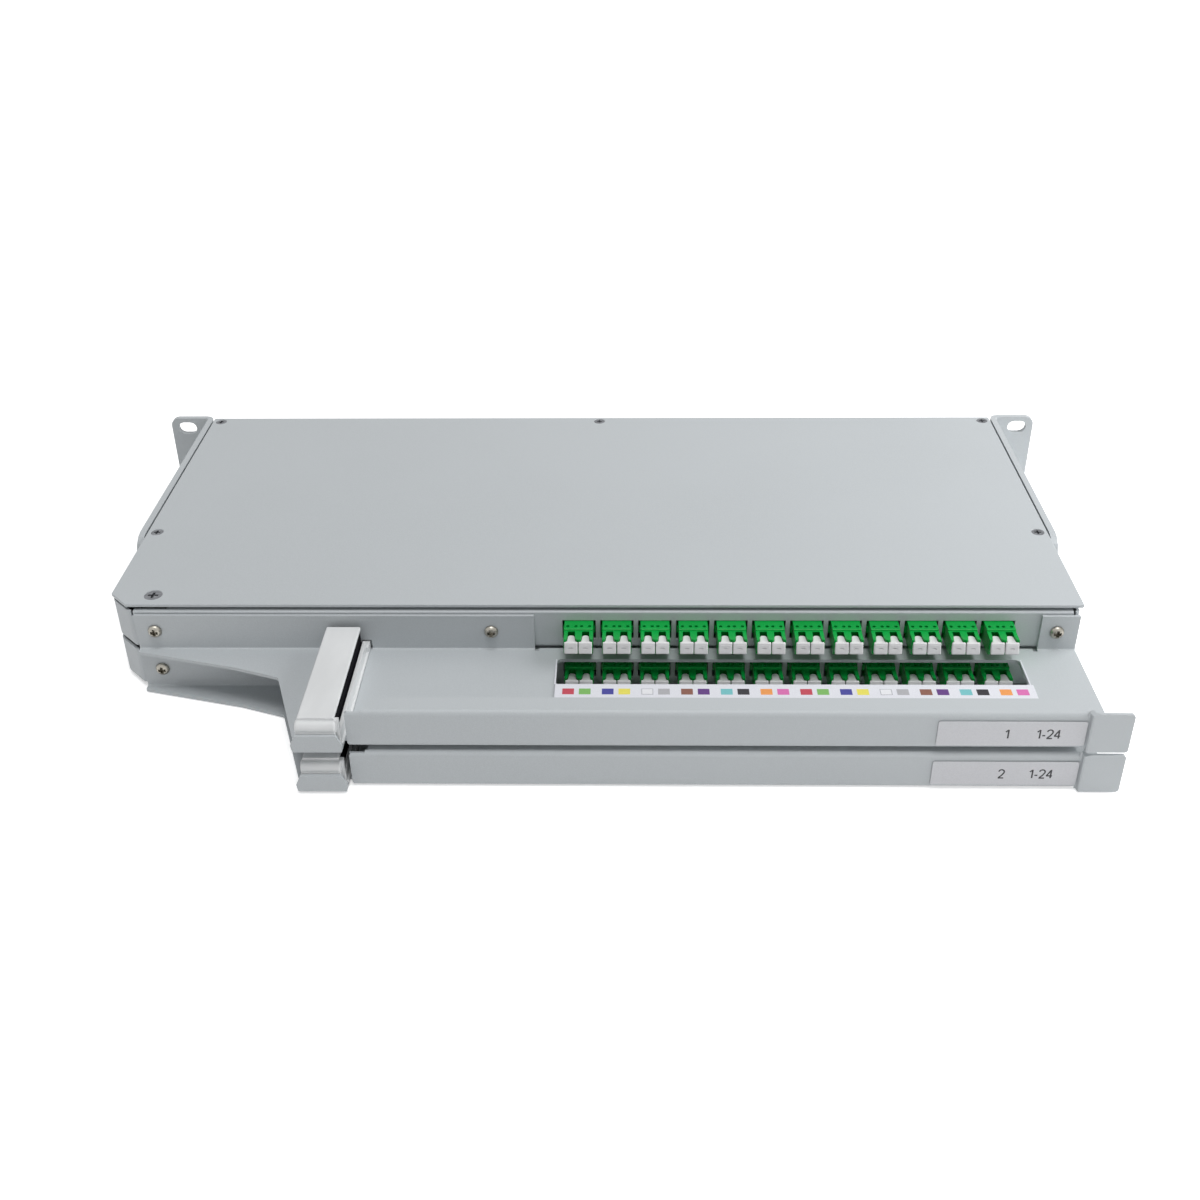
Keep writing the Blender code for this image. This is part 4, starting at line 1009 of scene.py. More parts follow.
@dataclass
class Housing:
    """Base, cover, brackets, post and the rest of what stands still."""

    cover_half: float = 216.1
    cover_depth: float = 196.0
    cover_sheet: float = 1.5
    cut: Point = (8.9, 9.3)
    corner_radius: float = 0.8
    edge: float = 0.3
    screw_side: float = 211.5
    screw_depths: Point = (4.6, 130.5)
    bracket_face: float = 219.9
    bracket_screws: tuple[Point, Point] = ((28.0, 78.0), (11.0, 32.6))
    small_hole: tuple[Point, ...] = ((0, 1), (3.1, 1), (3.1, 0), (1.8, -1.4), (1.8, -3),
                                     (0, -3))
    large_hole: tuple[Point, ...] = ((0, 1), (4.2, 1), (4.2, 0), (2.8, -1.5), (2.8, -3),
                                     (0, -3))
    hole_sink: float = 0.1
    head_sink: float = 0.2
    small: CrossScrew = CrossScrew(2.9, 0.15, 1.4, 1.5, 5.0, 1.6, 1.0)
    large: CrossScrew = CrossScrew(4.0, 0.15, 1.5, 2.5, 10.0, 2.3, 1.2)
    side: CrossScrew = CrossScrew(3.6, 1.9, 0.0, 2.0, 4.0, 1.9, 0.8)

    def cover_places(self) -> Outline:
        """Work out where the small cover screws sit.

        Returns:
            Their places in plan.
        """
        rear, front = (ahead(depth) for depth in self.screw_depths)
        side = self.screw_side
        return [(-side, rear), (0.0, rear), (side, rear), (-side, front), (side, front)]

    def build_cover(self) -> None:
        """Make the cover with fine edges and countersunk holes."""
        half, front = self.cover_half, ahead(self.cover_depth)
        outline = fillet([(-half, front + self.cut[1]), (-half + self.cut[0], front),
                          (half, front), (half, ahead(0)), (-half, ahead(0))],
                         self.corner_radius, 6)
        plate = prism(outline, PANEL_HEIGHT - self.cover_sheet, PANEL_HEIGHT)
        profiles = [(place, self.small_hole) for place in self.cover_places()]
        profiles.append(((PIVOT[0], ahead(PIVOT[1])), self.large_hole))
        holes = [moved(turned(profile), (*place, PANEL_HEIGHT - self.hole_sink))
                 for place, profile in profiles]
        piece("cover_plate", combined(softened(plate, self.edge, 3), holes), COAT,
              "housing", ["top_cover"])

    def build_screws(self) -> None:
        """Make the cover's screws, the pivot screw and the brackets' screw heads."""
        height = PANEL_HEIGHT - self.head_sink
        for number, place in enumerate(self.cover_places(), 1):
            piece(f"cover_cross_screw_{number}", moved(self.small.shape(), (*place, height)),
                  ZINC, "housing", [f"cover_screw_{number}"])
        piece("pivot_cross_screw",
              moved(self.large.shape(), (PIVOT[0], ahead(PIVOT[1]), height)), ZINC,
              "housing", ["pivot_screw"])
        depths, rows = self.bracket_screws
        heads = [moved(self.side.shape(), (sign * self.bracket_face, ahead(depth), row),
                       Axis.X, sign < 0)
                 for depth in depths for row in rows for sign in (-1, 1)]
        piece("bracket_screw_heads", merged(*heads), NICKEL, "housing")

    def build(self) -> None:
        """Make and dress everything that stands still."""
        self.build_cover()
        self.build_screws()
        dress(["housing_base", "bracket_left", "bracket_right"], COAT)
        dress(["pivot_post", "cable_anchor"], NICKEL)
        dress(["entry_grommet_left", "entry_grommet_right"], RUBBER)


@dataclass
class TrayPart:
    """Something that turns with one of the trays."""

    level: Level

    @property
    def floor(self) -> float:
        """Height of the tray's underside."""
        return self.level.floor

    def add(self, name: str, shape: Solid, finish: Finish, *nodes: str) -> None:
        """Make a piece that turns with the tray.

        Args:
            name: The piece's name, with # for the tray's number.
            shape: Its shape.
            finish: Its finish.
            *nodes: The CAD nodes that it stands for, with # for the tray's number.
        """
        number = str(self.level.value)
        piece(name.replace("#", number), shape, finish, self.level.body,
              [node.replace("#", number) for node in nodes])

    def screw_holes(self, low: float, high: float) -> list[Solid]:
        """Return the cutters for the shelf's screws, from one Y to another."""
        return [prism(circle((x, self.floor + SCREW_RISE), SCREW_HOLE), low, high, Axis.Y)
                for x in SHELF_SCREWS]


@dataclass
class TraySheet(TrayPart):
    """Folded tray with a cut corner, a swing arc, a lip and the adapters' cut-outs."""

    rear: float = 12.0
    step: float = 145.0
    left: float = 215.8
    right: float = 214.4
    rear_left: float = 204.6
    cut: Point = (10.0, 10.3)
    height: float = 18.8
    sheet: float = 1.2
    bend: float = 1.6
    swing_radius: float = 402.6
    arc_steps: int = 14
    lip: Point = (-204.0, 211.6)
    lip_step: Point = (-189.6, -187.2)
    lip_depths: Point = (2.4, 5.0)
    lip_round: float = 0.8
    slit: tuple[float, float, float] = (0.9, 1.6, 2.6)
    past: float = 1.0
    adapter_width: float = 14.8
    adapter_rows: Point = (4.45, 14.35)
    bush_hole: float = 6.6
    fibre_entry: tuple[Point, Point] = ((-212.7, -206.3), (4.4, 14.4))
    pegs: tuple[Point, Point] = ((-104.0, 96.0), (71.0, 40.0))

    def plan(self) -> Outline:
        """Work out the tray's floor, with its cut corner, its arc and its step.

        Returns:
            The plan of the floor.
        """
        front, step = ahead(TRAY_FRONT), ahead(self.step)
        points = [(-self.left, front + self.cut[1]), (-self.left + self.cut[0], front),
                  *((x, front) for x in (self.lip[0], *self.lip_step, self.lip[1])),
                  (self.right, front), (self.right, step)]
        for number in range(self.arc_steps + 1):
            depth = self.step + (self.rear - self.step) * number / self.arc_steps
            reach = math.sqrt(self.swing_radius ** 2 - (PIVOT[1] - depth) ** 2)
            points.append((PIVOT[0] + reach, ahead(depth)))
        return points + [(-self.rear_left, ahead(self.rear)), (-self.rear_left, step),
                         (-self.left, step)]

    def pressing(self) -> Solid:
        """Fold the walls up from the floor, and the lip in from the front wall.

        Returns:
            The folded tray before its cuts.
        """
        top, front = self.floor + self.height, ahead(TRAY_FRONT)
        sheet = FoldedSheet(self.plan(), self.floor)
        rim = sheet.fold(sheet.free_edges(lambda x, y, z: True), lambda x, y, z: (x, y, top))
        sheet.bend_corners(self.height)
        left, right = self.lip[0] - MERGE, self.lip[1] + MERGE
        lip = [edge for edge in rim
               if all(near(vert.co.y, front) and left < vert.co.x < right
                      for vert in edge.verts)]
        middle = sum(self.lip_step) / 2
        sheet.fold(lip, lambda x, y, z: (x, y + self.lip_depths[x > middle], z), bent=False)
        return sheet.solid(self.sheet, self.bend, 4)

    def cutters(self) -> list[Solid]:
        """Make the tools for the adapters, the screws, the slits, the fibres and the pegs.

        Returns:
            The cutters.
        """
        floor, front, step = self.floor, ahead(TRAY_FRONT), ahead(self.step)
        top, half = floor + self.height, self.adapter_width / 2
        low, high = (floor + rise for rise in self.adapter_rows)
        start, end, past = front - self.past, front + CLEAR, self.past
        tools = [block((x - half, start, low), (x + half, end, high))
                 for x in AdapterRow(self.level).places]
        tools += self.screw_holes(start, end)
        wide, back, deep = self.slit
        tools += [block((x, start, top - deep), (x + wide, front + back, top + past))
                  for x in (self.lip[0] - wide, self.lip[1])]
        (left, right), (low, high) = self.fibre_entry
        tools.append(block((left, step - CLEAR, floor + low),
                           (right, step + past, floor + high)))
        (x, depth), (across, along) = self.pegs
        holes = [((PIVOT[0], ahead(PIVOT[1])), self.bush_hole)]
        holes += [((x + side * across, ahead(depth) + end * along), SCREW_HOLE)
                  for side in (-1, 1) for end in (-1, 1)]
        return tools + [prism(circle(centre, radius), floor - past, floor + self.sheet + past)
                        for centre, radius in holes]

    def build(self) -> None:
        """Make the tray."""
        corner = (ahead(TRAY_FRONT), self.floor + self.height)
        rounding = corner_cut(corner, (1, -1), self.lip_round, self.lip[0] - MERGE,
                              self.lip[1] + MERGE, Axis.X)
        shape = combined(combined(self.pressing(), [rounding]), self.cutters())
        self.add("folded_tray_#", shape, COAT, "tray_#")


@dataclass
class Shelf(TrayPart):
    """Patch-cord shelf with fascia, finger tab, window and front lip."""

    back: float = 197.3
    fascia: float = 268.1
    sheet: float = 1.5
    bend: float = 2.2
    drop: float = 1.2
    height: float = 17.8
    half: float = 214.4
    flange_top: float = 17.6
    flange_ends: Point = (-25.5, 197.8)
    relief: tuple[float, float, float] = (2.0, 3.0, 0.9)
    wing: tuple[Point, ...] = ((-203.4, 0.0), (-203.4, 4.5), (-157.0, 16.6), (-136.3, 24.2))
    wing_rounds: tuple[tuple[int, float], ...] = ((3, 2.5), (2, 14.0))
    fascia_left: float = -97.9
    fascia_right: float = 199.8
    fascia_rounds: Point = (2.5, 1.4)
    notch: float = 4.0
    inward: float = 10.0
    inward_drop: float = 4.2
    bare: float = 7.5
    bare_round: float = 7.0
    bare_drop: float = 1.0
    tab_right: float = 216.6
    tab_step: float = 2.5
    tab_rise: Point = (0.1, 18.9)
    tab_overlap: float = 0.25
    tab_bend: float = 0.9
    tab_edge: Point = (0.15, 60.0)
    tab_round: float = 1.5
    tab_relief: Point = (1.8, 3.5)
    shoulder: tuple[Point, ...] = ((-0.3, 0.1), (3.2, 1.3), (3.2, 3.0), (-0.3, 3.0))
    lip: float = 273.4
    lip_left: float = -120.0
    lip_width: float = 21.0
    lip_rise: float = 4.55
    lip_spread: float = 0.7
    lip_taper: float = 2.2
    window: tuple[Point, Point] = ((-15.0, 207.0), (187.8, 226.3))
    window_round: float = 2.0
    hook_gap: float = 0.9
    head_gap: float = 0.3
    head: CrossScrew = CrossScrew(3.1, 2.0, 0.0, 1.8, 3.8, 1.7, 1.45)

    @property
    def low(self) -> float:
        """Height of the shelf's underside."""
        return self.floor - self.drop

    def plan(self) -> Outline:
        """Work out the shelf's floor, with its wing, its lip and its reliefs.

        Returns:
            The plan of the floor.
        """
        front, back, lip = ahead(self.fascia), ahead(self.back), ahead(self.lip)
        wing = [(x, ahead(self.back + out)) for x, out in self.wing]
        wing.append((self.lip_left, front))
        for corner, radius in self.wing_rounds:
            wing = fillet(wing, radius, 6, (corner,))
        notch = ahead(self.fascia - self.notch)
        lip_right = self.lip_left + self.lip_width - self.lip_spread
        wide, deep, free = self.relief
        relief, free = ahead(self.back + deep), ahead(self.back + free)
        left, right = self.flange_ends
        return wing + [
            (self.lip_left + self.lip_spread, lip), (lip_right, lip), (lip_right, notch),
            (self.fascia_left, notch), (self.fascia_left, front), (self.fascia_right, front),
            (self.fascia_right, notch), (self.half, notch), (self.half, back), (right, back),
            (right, relief), (right - wide, relief), (right - wide, free),
            (left + wide, free), (left + wide, relief), (left, relief), (left, back)]

    def tab(self) -> Outline:
        """Work out the finger tab, which steps forwards beside the fascia.

        Returns:
            The plan of the tab.
        """
        front, right, sheet = ahead(self.fascia), self.fascia_right, self.sheet
        face, start = front - self.tab_step, right - self.tab_overlap
        outline = [(start, front), (right, front), (right, face), (self.tab_right, face),
                   (self.tab_right, face + sheet), (right + sheet, face + sheet),
                   (right + sheet, front + sheet), (start, front + sheet)]
        for corners in ((5, 6), (1, 2)):
            outline = fillet(outline, self.tab_bend, 4, corners)
        return outline

    def pressing(self) -> Solid:
        """Fold up the flange, the fascia with its inward edge, and the front lip.

        Returns:
            The folded shelf before its cuts.
        """
        top, front = self.low + self.height, ahead(self.fascia)
        flange, middle = self.floor + self.flange_top, self.lip_left + self.lip_width / 2
        sheet = FoldedSheet(self.plan(), self.low)
        sheet.fold(sheet.free_edges(lambda x, y, z: near(y, ahead(self.back))),
                   lambda x, y, z: (x, y, flange))
        wall = sheet.fold(
            sheet.free_edges(lambda x, y, z: near(y, front) and x > self.lip_left + MERGE),
            lambda x, y, z: (x, y, top))
        sheet.fold(wall, lambda x, y, z: (x, y + self.inward, z))
        lip = sheet.fold(
            sheet.free_edges(lambda x, y, z: near(y, ahead(self.lip))),
            lambda x, y, z: (x + math.copysign(self.lip_spread, x - middle), y,
                             z + self.lip_rise))
        sheet.fold(lip, lambda x, y, z: (x - math.copysign(self.lip_taper, x - middle), y,
                                         z + self.lip_rise), bent=False)
        return sheet.solid(self.sheet, self.bend)

    def cutters(self) -> list[Solid]:
        """Make the tools for the window, the holes, the fascia's ends and the corners.

        Returns:
            The cutters.
        """
        low, top, sheet = self.low, self.low + self.height, self.sheet
        front, back, right = ahead(self.fascia), ahead(self.back), self.fascia_right
        near_end, far_end = self.window
        window = rectangle((near_end[0], ahead(far_end[1])), (far_end[0], ahead(near_end[1])))
        tools = [prism(fillet(window, self.window_round), low - CLEAR, low + sheet + CLEAR)]
        tools += self.screw_holes(back - 2 * CLEAR, back + CLEAR)
        inside, rear = front + sheet + MERGE, front + self.inward
        start, bare = self.fascia_left - CLEAR, self.fascia_left + self.bare
        turn = bare + self.bare_round
        corner = arc((turn, rear - self.bare_round), self.bare_round, math.pi, math.pi / 2, 8)
        left_end = [(start, inside), (bare, inside), *corner, (turn, rear + CLEAR),
                    (start, rear + CLEAR)]
        before, after = self.tab_relief
        right_end = rectangle((right - before, inside), (right + after, rear + CLEAR))
        tools += [prism(outline, top - self.inward_drop, top + CLEAR)
                  for outline in (left_end, right_end)]
        bare_top = top - self.bare_drop
        tools.append(block((start, front - CLEAR, bare_top),
                           (bare - 1, front + 2 * sheet, top + CLEAR)))
        tools.append(CordGuide(self.level).hook(back - self.bend, back + CLEAR,
                                                self.hook_gap))
        tools += [corner_cut((self.fascia_left, height), (1, up), radius, front - CLEAR,
                             front + sheet + MERGE / 2, Axis.Y)
                  for height, up, radius in zip((low, bare_top), (1, -1), self.fascia_rounds)]
        face = front - self.tab_step
        tools.append(prism([(right + x, top + z) for x, z in self.shoulder], face - CLEAR,
                           front + CLEAR, Axis.Y))
        return tools + [corner_cut((self.tab_right, low + rise), (-1, up), self.tab_round,
                                   face - CLEAR, face + sheet + CLEAR, Axis.Y)
                        for rise, up in zip(self.tab_rise, (1, -1))]

    def build(self) -> None:
        """Make the shelf, and the screws that hold it to the tray."""
        low, high = (self.low + rise for rise in self.tab_rise)
        width, angle = self.tab_edge
        tab = softened(prism(self.tab(), low, high), width, 2, angle)
        shape = combined(self.pressing(), [tab], "UNION")
        for tool in self.cutters():
            shape = combined(shape, [tool])
        self.add("cord_shelf_#", shape, COAT, "shelf_#")
        face = ahead(self.back + self.sheet + self.head_gap)
        for place, x in enumerate(SHELF_SCREWS, 1):
            screw = moved(self.head.shape(), (x, face, self.floor + SCREW_RISE), Axis.Y)
            self.add(f"shelf_cross_screw_#_{place}", screw, NICKEL, f"shelf_screw_#_{place}")


@dataclass
class AdapterRow(TrayPart):
    """Twelve green duplex adapters with a white dust cap on every port."""

    count: int = 12
    first: float = -5.6
    pitch: float = 16.8
    width: float = 12.8
    height: float = 9.3
    rise: float = 4.75
    front: float = 14.1
    back: float = 10.0
    chamfer: Point = (1.8, 1.5)
    step: float = 6.6
    step_slope: Point = (0.5, 0.25)
    step_drop: float = 0.9
    outer_edge: Point = (0.2, 30.0)
    inner_edge: Point = (0.13, 50.0)
    clip_sides: Point = (5.6, 7.1)
    clip_ends: Point = (0.2, 6.2)
    clip_inset: float = 3.0
    port: Point = (5.0, 4.6)
    port_ends: Point = (8.5, 8.0)
    port_pitch: float = 6.25
    port_floor: float = 2.35
    tongue: float = 1.15
    tongue_back: float = 0.5
    notch_half: float = 1.6
    notch_ends: Point = (3.6, 7.1)
    notch_round: float = 0.5
    notch_floor: float = 3.3
    latch_half: float = 1.5
    latch_ends: Point = (6.0, 8.3)
    latch_rows: Point = (3.0, 1.25)
    hole: float = 0.8
    hole_places: tuple[float, ...] = (-4.8, -1.26, 1.26, 4.8)
    hole_depth: float = 4.3
    cap_width: float = 5.9
    cap_height: float = 5.1
    cap_head: float = 2.5
    cap_lean: float = 1.5
    cap_lip: float = 0.7
    cap_inset: float = 0.3
    cap_gap: float = 0.05
    cap_edge: float = 0.45
    plug: tuple[float, float, float] = (2.2, 2.0, 4.0)
    neck: tuple[Point, ...] = ((-2.2, -1), (2.2, -1), (2.2, 0), (1.8, 1.4), (1.4, 5.5),
                               (-1.4, 5.5), (-1.8, 1.4), (-2.2, 0))
    neck_rows: Point = (3.5, 4.7)
    neck_round: float = 1.2
    neck_edge: float = 0.3
    mark: tuple[Point, ...] = ((-1.3, 2.4), (1.3, 2.4), (0.5, 3.1), (-0.5, 3.1))
    mark_depth: float = 1.15

    @property
    def places(self) -> list[float]:
        """X of the middle of each adapter."""
        return [self.first + self.pitch * number for number in range(self.count)]

    @property
    def ports(self) -> Point:
        """X of both ports, from the adapter's middle."""
        return -self.port_pitch / 2, self.port_pitch / 2

    def notch(self, x: float, face: float) -> Outline:
        """Work out the notch over a port, between round-ended tongues.

        Args:
            x: The port's middle.
            face: Y of the adapter's end.

        Returns:
            The plan of the notch.
        """
        half, centre = self.port_pitch / 2 - MERGE, face + self.tongue_back + self.tongue
        right = arc((x + half, centre), self.tongue, -math.pi / 2, -math.pi, 6)
        left = arc((x - half, centre), self.tongue, 0, -math.pi / 2, 6)
        start, end = (face + depth for depth in self.notch_ends)
        back = fillet(rectangle((x - self.notch_half, start), (x + self.notch_half, end)),
                      self.notch_round, 4, (2, 3))
        return [(x + half, face - CLEAR), *right, *back[1:], back[0], *left,
                (x - half, face - CLEAR)]

    def body_shape(self) -> Solid:
        """Make one adapter, with its clips, ports, notches and holes.

        Returns:
            The adapter's shape, at x = 0.
        """
        wall, low = ahead(TRAY_FRONT), self.floor + self.rise
        front, back, step = wall - self.front, wall + self.back, wall - self.step
        high = low + self.height
        deck = high - self.step_drop
        profile = [(front + self.chamfer[0], low), (back, low), (back, high),
                   (step + self.step_slope[0], high), (step, high - self.step_slope[1]),
                   (step, deck), (front, deck), (front, low + self.chamfer[1])]
        half, (edge, angle) = self.width / 2, self.outer_edge
        shape = softened(prism(profile, -half, half, Axis.X), edge, 2, angle)
        clips = []
        for side in (-1, 1):
            inner, outer = sorted(side * x for x in self.clip_sides)
            clips.append(block((inner, wall + self.clip_ends[0], low + self.clip_inset),
                               (outer, wall + self.clip_ends[1], high - self.clip_inset)))
        shape = combined(shape, clips, "UNION")
        half, port_low = self.port[0] / 2, low + self.port_floor
        spans = ((front - CLEAR, front + self.port_ends[0]),
                 (back - self.port_ends[1], back + CLEAR))
        for x in self.ports:
            ends = [block((x - half, start, port_low), (x + half, end, port_low + self.port[1]))
                    for start, end in spans]
            notch = prism(self.notch(x, front), port_low + self.notch_floor, high + CLEAR)
            latch = block((x - self.latch_half, front + self.latch_ends[0],
                           port_low + self.latch_rows[0]),
                          (x + self.latch_half, front + self.latch_ends[1],
                           high - self.latch_rows[1]))
            for tools in (ends, [notch], [latch]):
                shape = combined(shape, tools)
        holes = [prism(circle((x, wall - self.hole_depth), self.hole, 16), high - CLEAR,
                       high + CLEAR) for x in self.hole_places]
        edge, angle = self.inner_edge
        return softened(combined(shape, holes), edge, 2, angle)

    def cap_shape(self, face: float, inward: int, necked: bool) -> Solid:
        """Return one dust cap at x = 0.

        Args:
            face: Y of the adapter's end.
            inward: 1 if the adapter lies towards +Y, else -1.
            necked: Whether it has the neck that lies in the notch.

        Returns:
            The cap's shape.
        """
        low = self.floor + self.rise + self.port_floor + self.cap_inset
        inner = face - inward * self.cap_gap
        outer = inner - inward * self.cap_head
        half, high = self.cap_width / 2, low + self.cap_height
        outline = [(inner, low), (outer, low), (outer, low + self.cap_lip),
                   (outer + inward * self.cap_lean, high), (inner, high)]
        head = softened(prism(outline, -half, half, Axis.X), self.cap_edge, 4)
        side, deep, tall = self.plug
        start, end = sorted((outer + inward, face + inward * deep))
        plug = block((-side, start, low), (side, end, low + tall))
        shape = combined(head, [plug], "UNION")
        if necked:
            plan = fillet([(x, inner + y) for x, y in self.neck], self.neck_round, 6, (4, 5))
            neck = prism(plan, low + self.neck_rows[0], low + self.neck_rows[1])
            shape = combined(shape, [softened(neck, self.neck_edge, 3)], "UNION")
            mark = prism([(x, low + z) for x, z in self.mark], outer - 1,
                         outer + self.mark_depth, Axis.Y)
            shape = combined(shape, [mark])
        return shape

    def build(self) -> None:
        """Make the row of adapters and their caps."""
        row = repeated(self.body_shape(), [(x, 0, 0) for x in self.places])
        self.add("adapter_row_#", row, GREEN,
                 *(f"adapter_#_{place:02d}" for place in range(1, self.count + 1)))
        wall = ahead(TRAY_FRONT)
        ports = [(x + port, 0, 0) for x in self.places for port in self.ports]
        caps = [repeated(self.cap_shape(*end), ports)
                for end in ((wall - self.front, 1, True), (wall + self.back, -1, False))]
        self.add("dust_caps_#", merged(*caps), CAP_WHITE)


@dataclass
class CordGuide(TrayPart):
    """White moulded channel with a slit, a rolled finger edge and black foam."""

    left: float = -117.2
    width: float = 15.1
    wall: float = 1.6
    rear: float = 201.8
    front: float = 268.7
    lift: float = 0.6
    leaf: float = 1.4
    low_wall: float = 5.7
    wall_out: float = 1.9
    foot: float = 1.0
    rise: float = 13.2
    leaf_round: float = 0.6
    edge: float = 0.2
    hook_front: float = 197.6
    hook_height: float = 3.5
    roll: float = 2.9
    roll_over: float = 0.8
    roll_drop: float = 1.2
    roll_round: float = 0.9
    skirt_inset: float = 0.3
    skirt_back: float = 0.6
    skirt_rows: Point = (5.0, 1.4)
    cheek: tuple[Point, Point, Point] = ((-0.5, 1.75), (-0.4, 2.2), (0.5, -1.1))
    cheek_edge: float = 0.3
    foam_gap: float = 0.3
    foam_front: float = 2.5
    foam_low: float = 1.3
    foam_slit: Point = (2.0, 0.4)
    foam_edge: float = 0.15

    @property
    def base(self) -> float:
        """Height of the guide's foot."""
        return self.floor + self.lift

    @property
    def leaf_right(self) -> float:
        """X of the upper leaf's free edge."""
        return self.left + self.width

    def hook(self, low: float, high: float, gap: float = 0.0) -> Solid:
        """Return the tab that hooks into the shelf's flange, or its hole.

        Args:
            low: The Y that it starts at.
            high: The Y that it ends at.
            gap: Room around it.

        Returns:
            The tab's block.
        """
        right = self.leaf_right + self.wall_out
        return block((right - self.wall - gap, low, self.base - gap / 2),
                     (right + self.foot + gap, high, self.base + self.hook_height + gap))

    def profile(self) -> Outline:
        """Work out the guide's section.

        Returns:
            The section, as x and z.
        """
        left, low, top = self.left, self.base, self.base + self.rise
        right, toe = self.leaf_right + self.wall_out, low + self.foot
        under, split = top - self.leaf, low + self.low_wall
        outline = [(left, low), (right + self.foot, low), (right + self.foot, toe),
                   (right, toe), (right, split), (right - self.wall, split),
                   (right - self.wall, toe), (left + self.wall, toe),
                   (left + self.wall, under), (self.leaf_right, under),
                   (self.leaf_right, top), (left, top)]
        return fillet(outline, self.leaf_round, 4, (10, 11))

    def details(self) -> list[Solid]:
        """Make what is moulded onto the guide's channel.

        Returns:
            The rolled edge, its skirt, the hook and the cheek.
        """
        front, rear, top = ahead(self.front), ahead(self.rear), self.base + self.rise
        middle, half = (self.left + self.leaf_right) / 2, self.width / 2 + self.roll_over
        height = top - self.roll_drop - self.roll
        roll = turned([(0, half), (self.roll, half), (self.roll, -half), (0, -half)], 36)
        roll = moved(softened(roll, self.roll_round, 4), (middle, front, height), Axis.X)
        side, (low, high) = half - self.skirt_inset, self.skirt_rows
        skirt = block((middle - side, front - self.roll, height - low),
                      (middle + side, front - self.skirt_back, height - high))
        (left, right), (near_y, far_y), (low, high) = self.cheek
        cheek = block((self.leaf_right + left, front + near_y, self.base + low),
                      (self.leaf_right + right, front + far_y, top + high))
        return [roll, softened(skirt, self.edge, 2),
                self.hook(rear - CLEAR, ahead(self.hook_front)),
                softened(cheek, self.cheek_edge, 2)]

    def foam(self) -> Outline:
        """Work out the foam's section, with the slit for the cords.

        Returns:
            The section, as x and z.
        """
        left, right = self.left + self.wall + self.foam_gap, self.leaf_right - self.foam_gap
        low, top = self.base + self.foam_low, self.base + self.rise - self.leaf
        split, low_right = self.base + self.low_wall, right + self.wall_out - self.wall
        (across, up), top = self.foam_slit, top - self.foam_gap
        return [(left, low), (low_right, low), (low_right, split), (left + across, split),
                (left + across, split + up), (right, split + up), (right, top), (left, top)]

    def build(self) -> None:
        """Make the guide and its foam."""
        front, rear = ahead(self.front), ahead(self.rear)
        shape = softened(prism(self.profile(), front, rear, Axis.Y), self.edge, 2)
        for detail in self.details():
            shape = combined(shape, [detail], "UNION")
        self.add("guide_moulding_#", shape, GUIDE_WHITE, "cord_guide_#")
        foam = prism(self.foam(), front + self.foam_front, rear - self.foam_gap, Axis.Y)
        self.add("foam_insert_#", softened(foam, self.foam_edge, 2), FOAM, "guide_foam_#")


@dataclass(frozen=True)
class Digits:
    """Plain digits drawn with a pen, as generic port and tray numbers."""

    height: float = 4.3
    pen: float = 0.66
    gap: float = 0.15
    flat: float = 0.08
    glyphs: dict[str, tuple[float, tuple[Outline, ...]]] = field(default_factory=lambda: {
        "1": (0.34, ([(0.0, 0.74), (0.26, 0.97)], [(0.26, 1.0), (0.26, 0.0)])),
        "2": (0.52, ([*reversed(arc((0.26, 0.73), 0.26, -math.pi / 5, math.pi * 0.95, 12)),
                      (0.3, 0.3), (0.05, 0.05)], [(0.0, 0.0), (0.52, 0.0)])),
        "4": (0.56, ([(0.42, 0.0), (0.42, 1.0)], [(0.42, 0.97), (0.02, 0.27)],
                     [(0.0, 0.27), (0.56, 0.27)])),
        "-": (0.28, ([(0.0, 0.33), (0.28, 0.33)],))})

    def shape(self, words: str) -> Solid:
        """Draw a row of digits.

        Args:
            words: The digits.

        Returns:
            Their shape, from x = 0 and standing on z = 0.
        """
        left, strokes = 0.0, []
        for sign in words:
            width, lines = self.glyphs[sign]
            strokes += [[(left + x * self.height, 0, z * self.height) for x, z in line]
                        for line in lines]
            left += (width + self.gap) * self.height
        shape = drawn(strokes, False, dimensions="3D", bevel_depth=self.pen / 2,
                      bevel_resolution=2, use_fill_caps=True)
        bmesh.ops.scale(shape, vec=(1, self.flat, 1), verts=shape.verts)
        return shape


@dataclass
class Labels(TrayPart):
    """Label plate on a fascia, with generic numbers."""

    left: float = 140.0
    width: float = 59.2
    height: float = 11.9
    rise: float = 0.9
    face: float = 268.4
    sheet: float = 0.4
    corner: float = 0.8
    edge: float = 0.1
    line: float = 3.7
    starts: Point = (167.2, 179.8)

    def build(self) -> None:
        """Make the plate and print the tray's number and the port range on it."""
        low, face = self.floor + self.rise, ahead(self.face + self.sheet)
        outline = rectangle((self.left, low), (self.left + self.width, low + self.height))
        plate = prism(fillet(outline, self.corner), face, ahead(self.face), Axis.Y)
        self.add("fascia_label_#", softened(plate, self.edge, 2), LABEL, "label_plate_#")
        words = (("tray_number_#", str(self.level.value)), ("port_numbers_#", "1-24"))
        for x, (name, text) in zip(self.starts, words):
            shape = Digits().shape(text)
            bmesh.ops.translate(shape, verts=shape.verts, vec=(x, face, low + self.line))
            self.add(name, shape, INK)


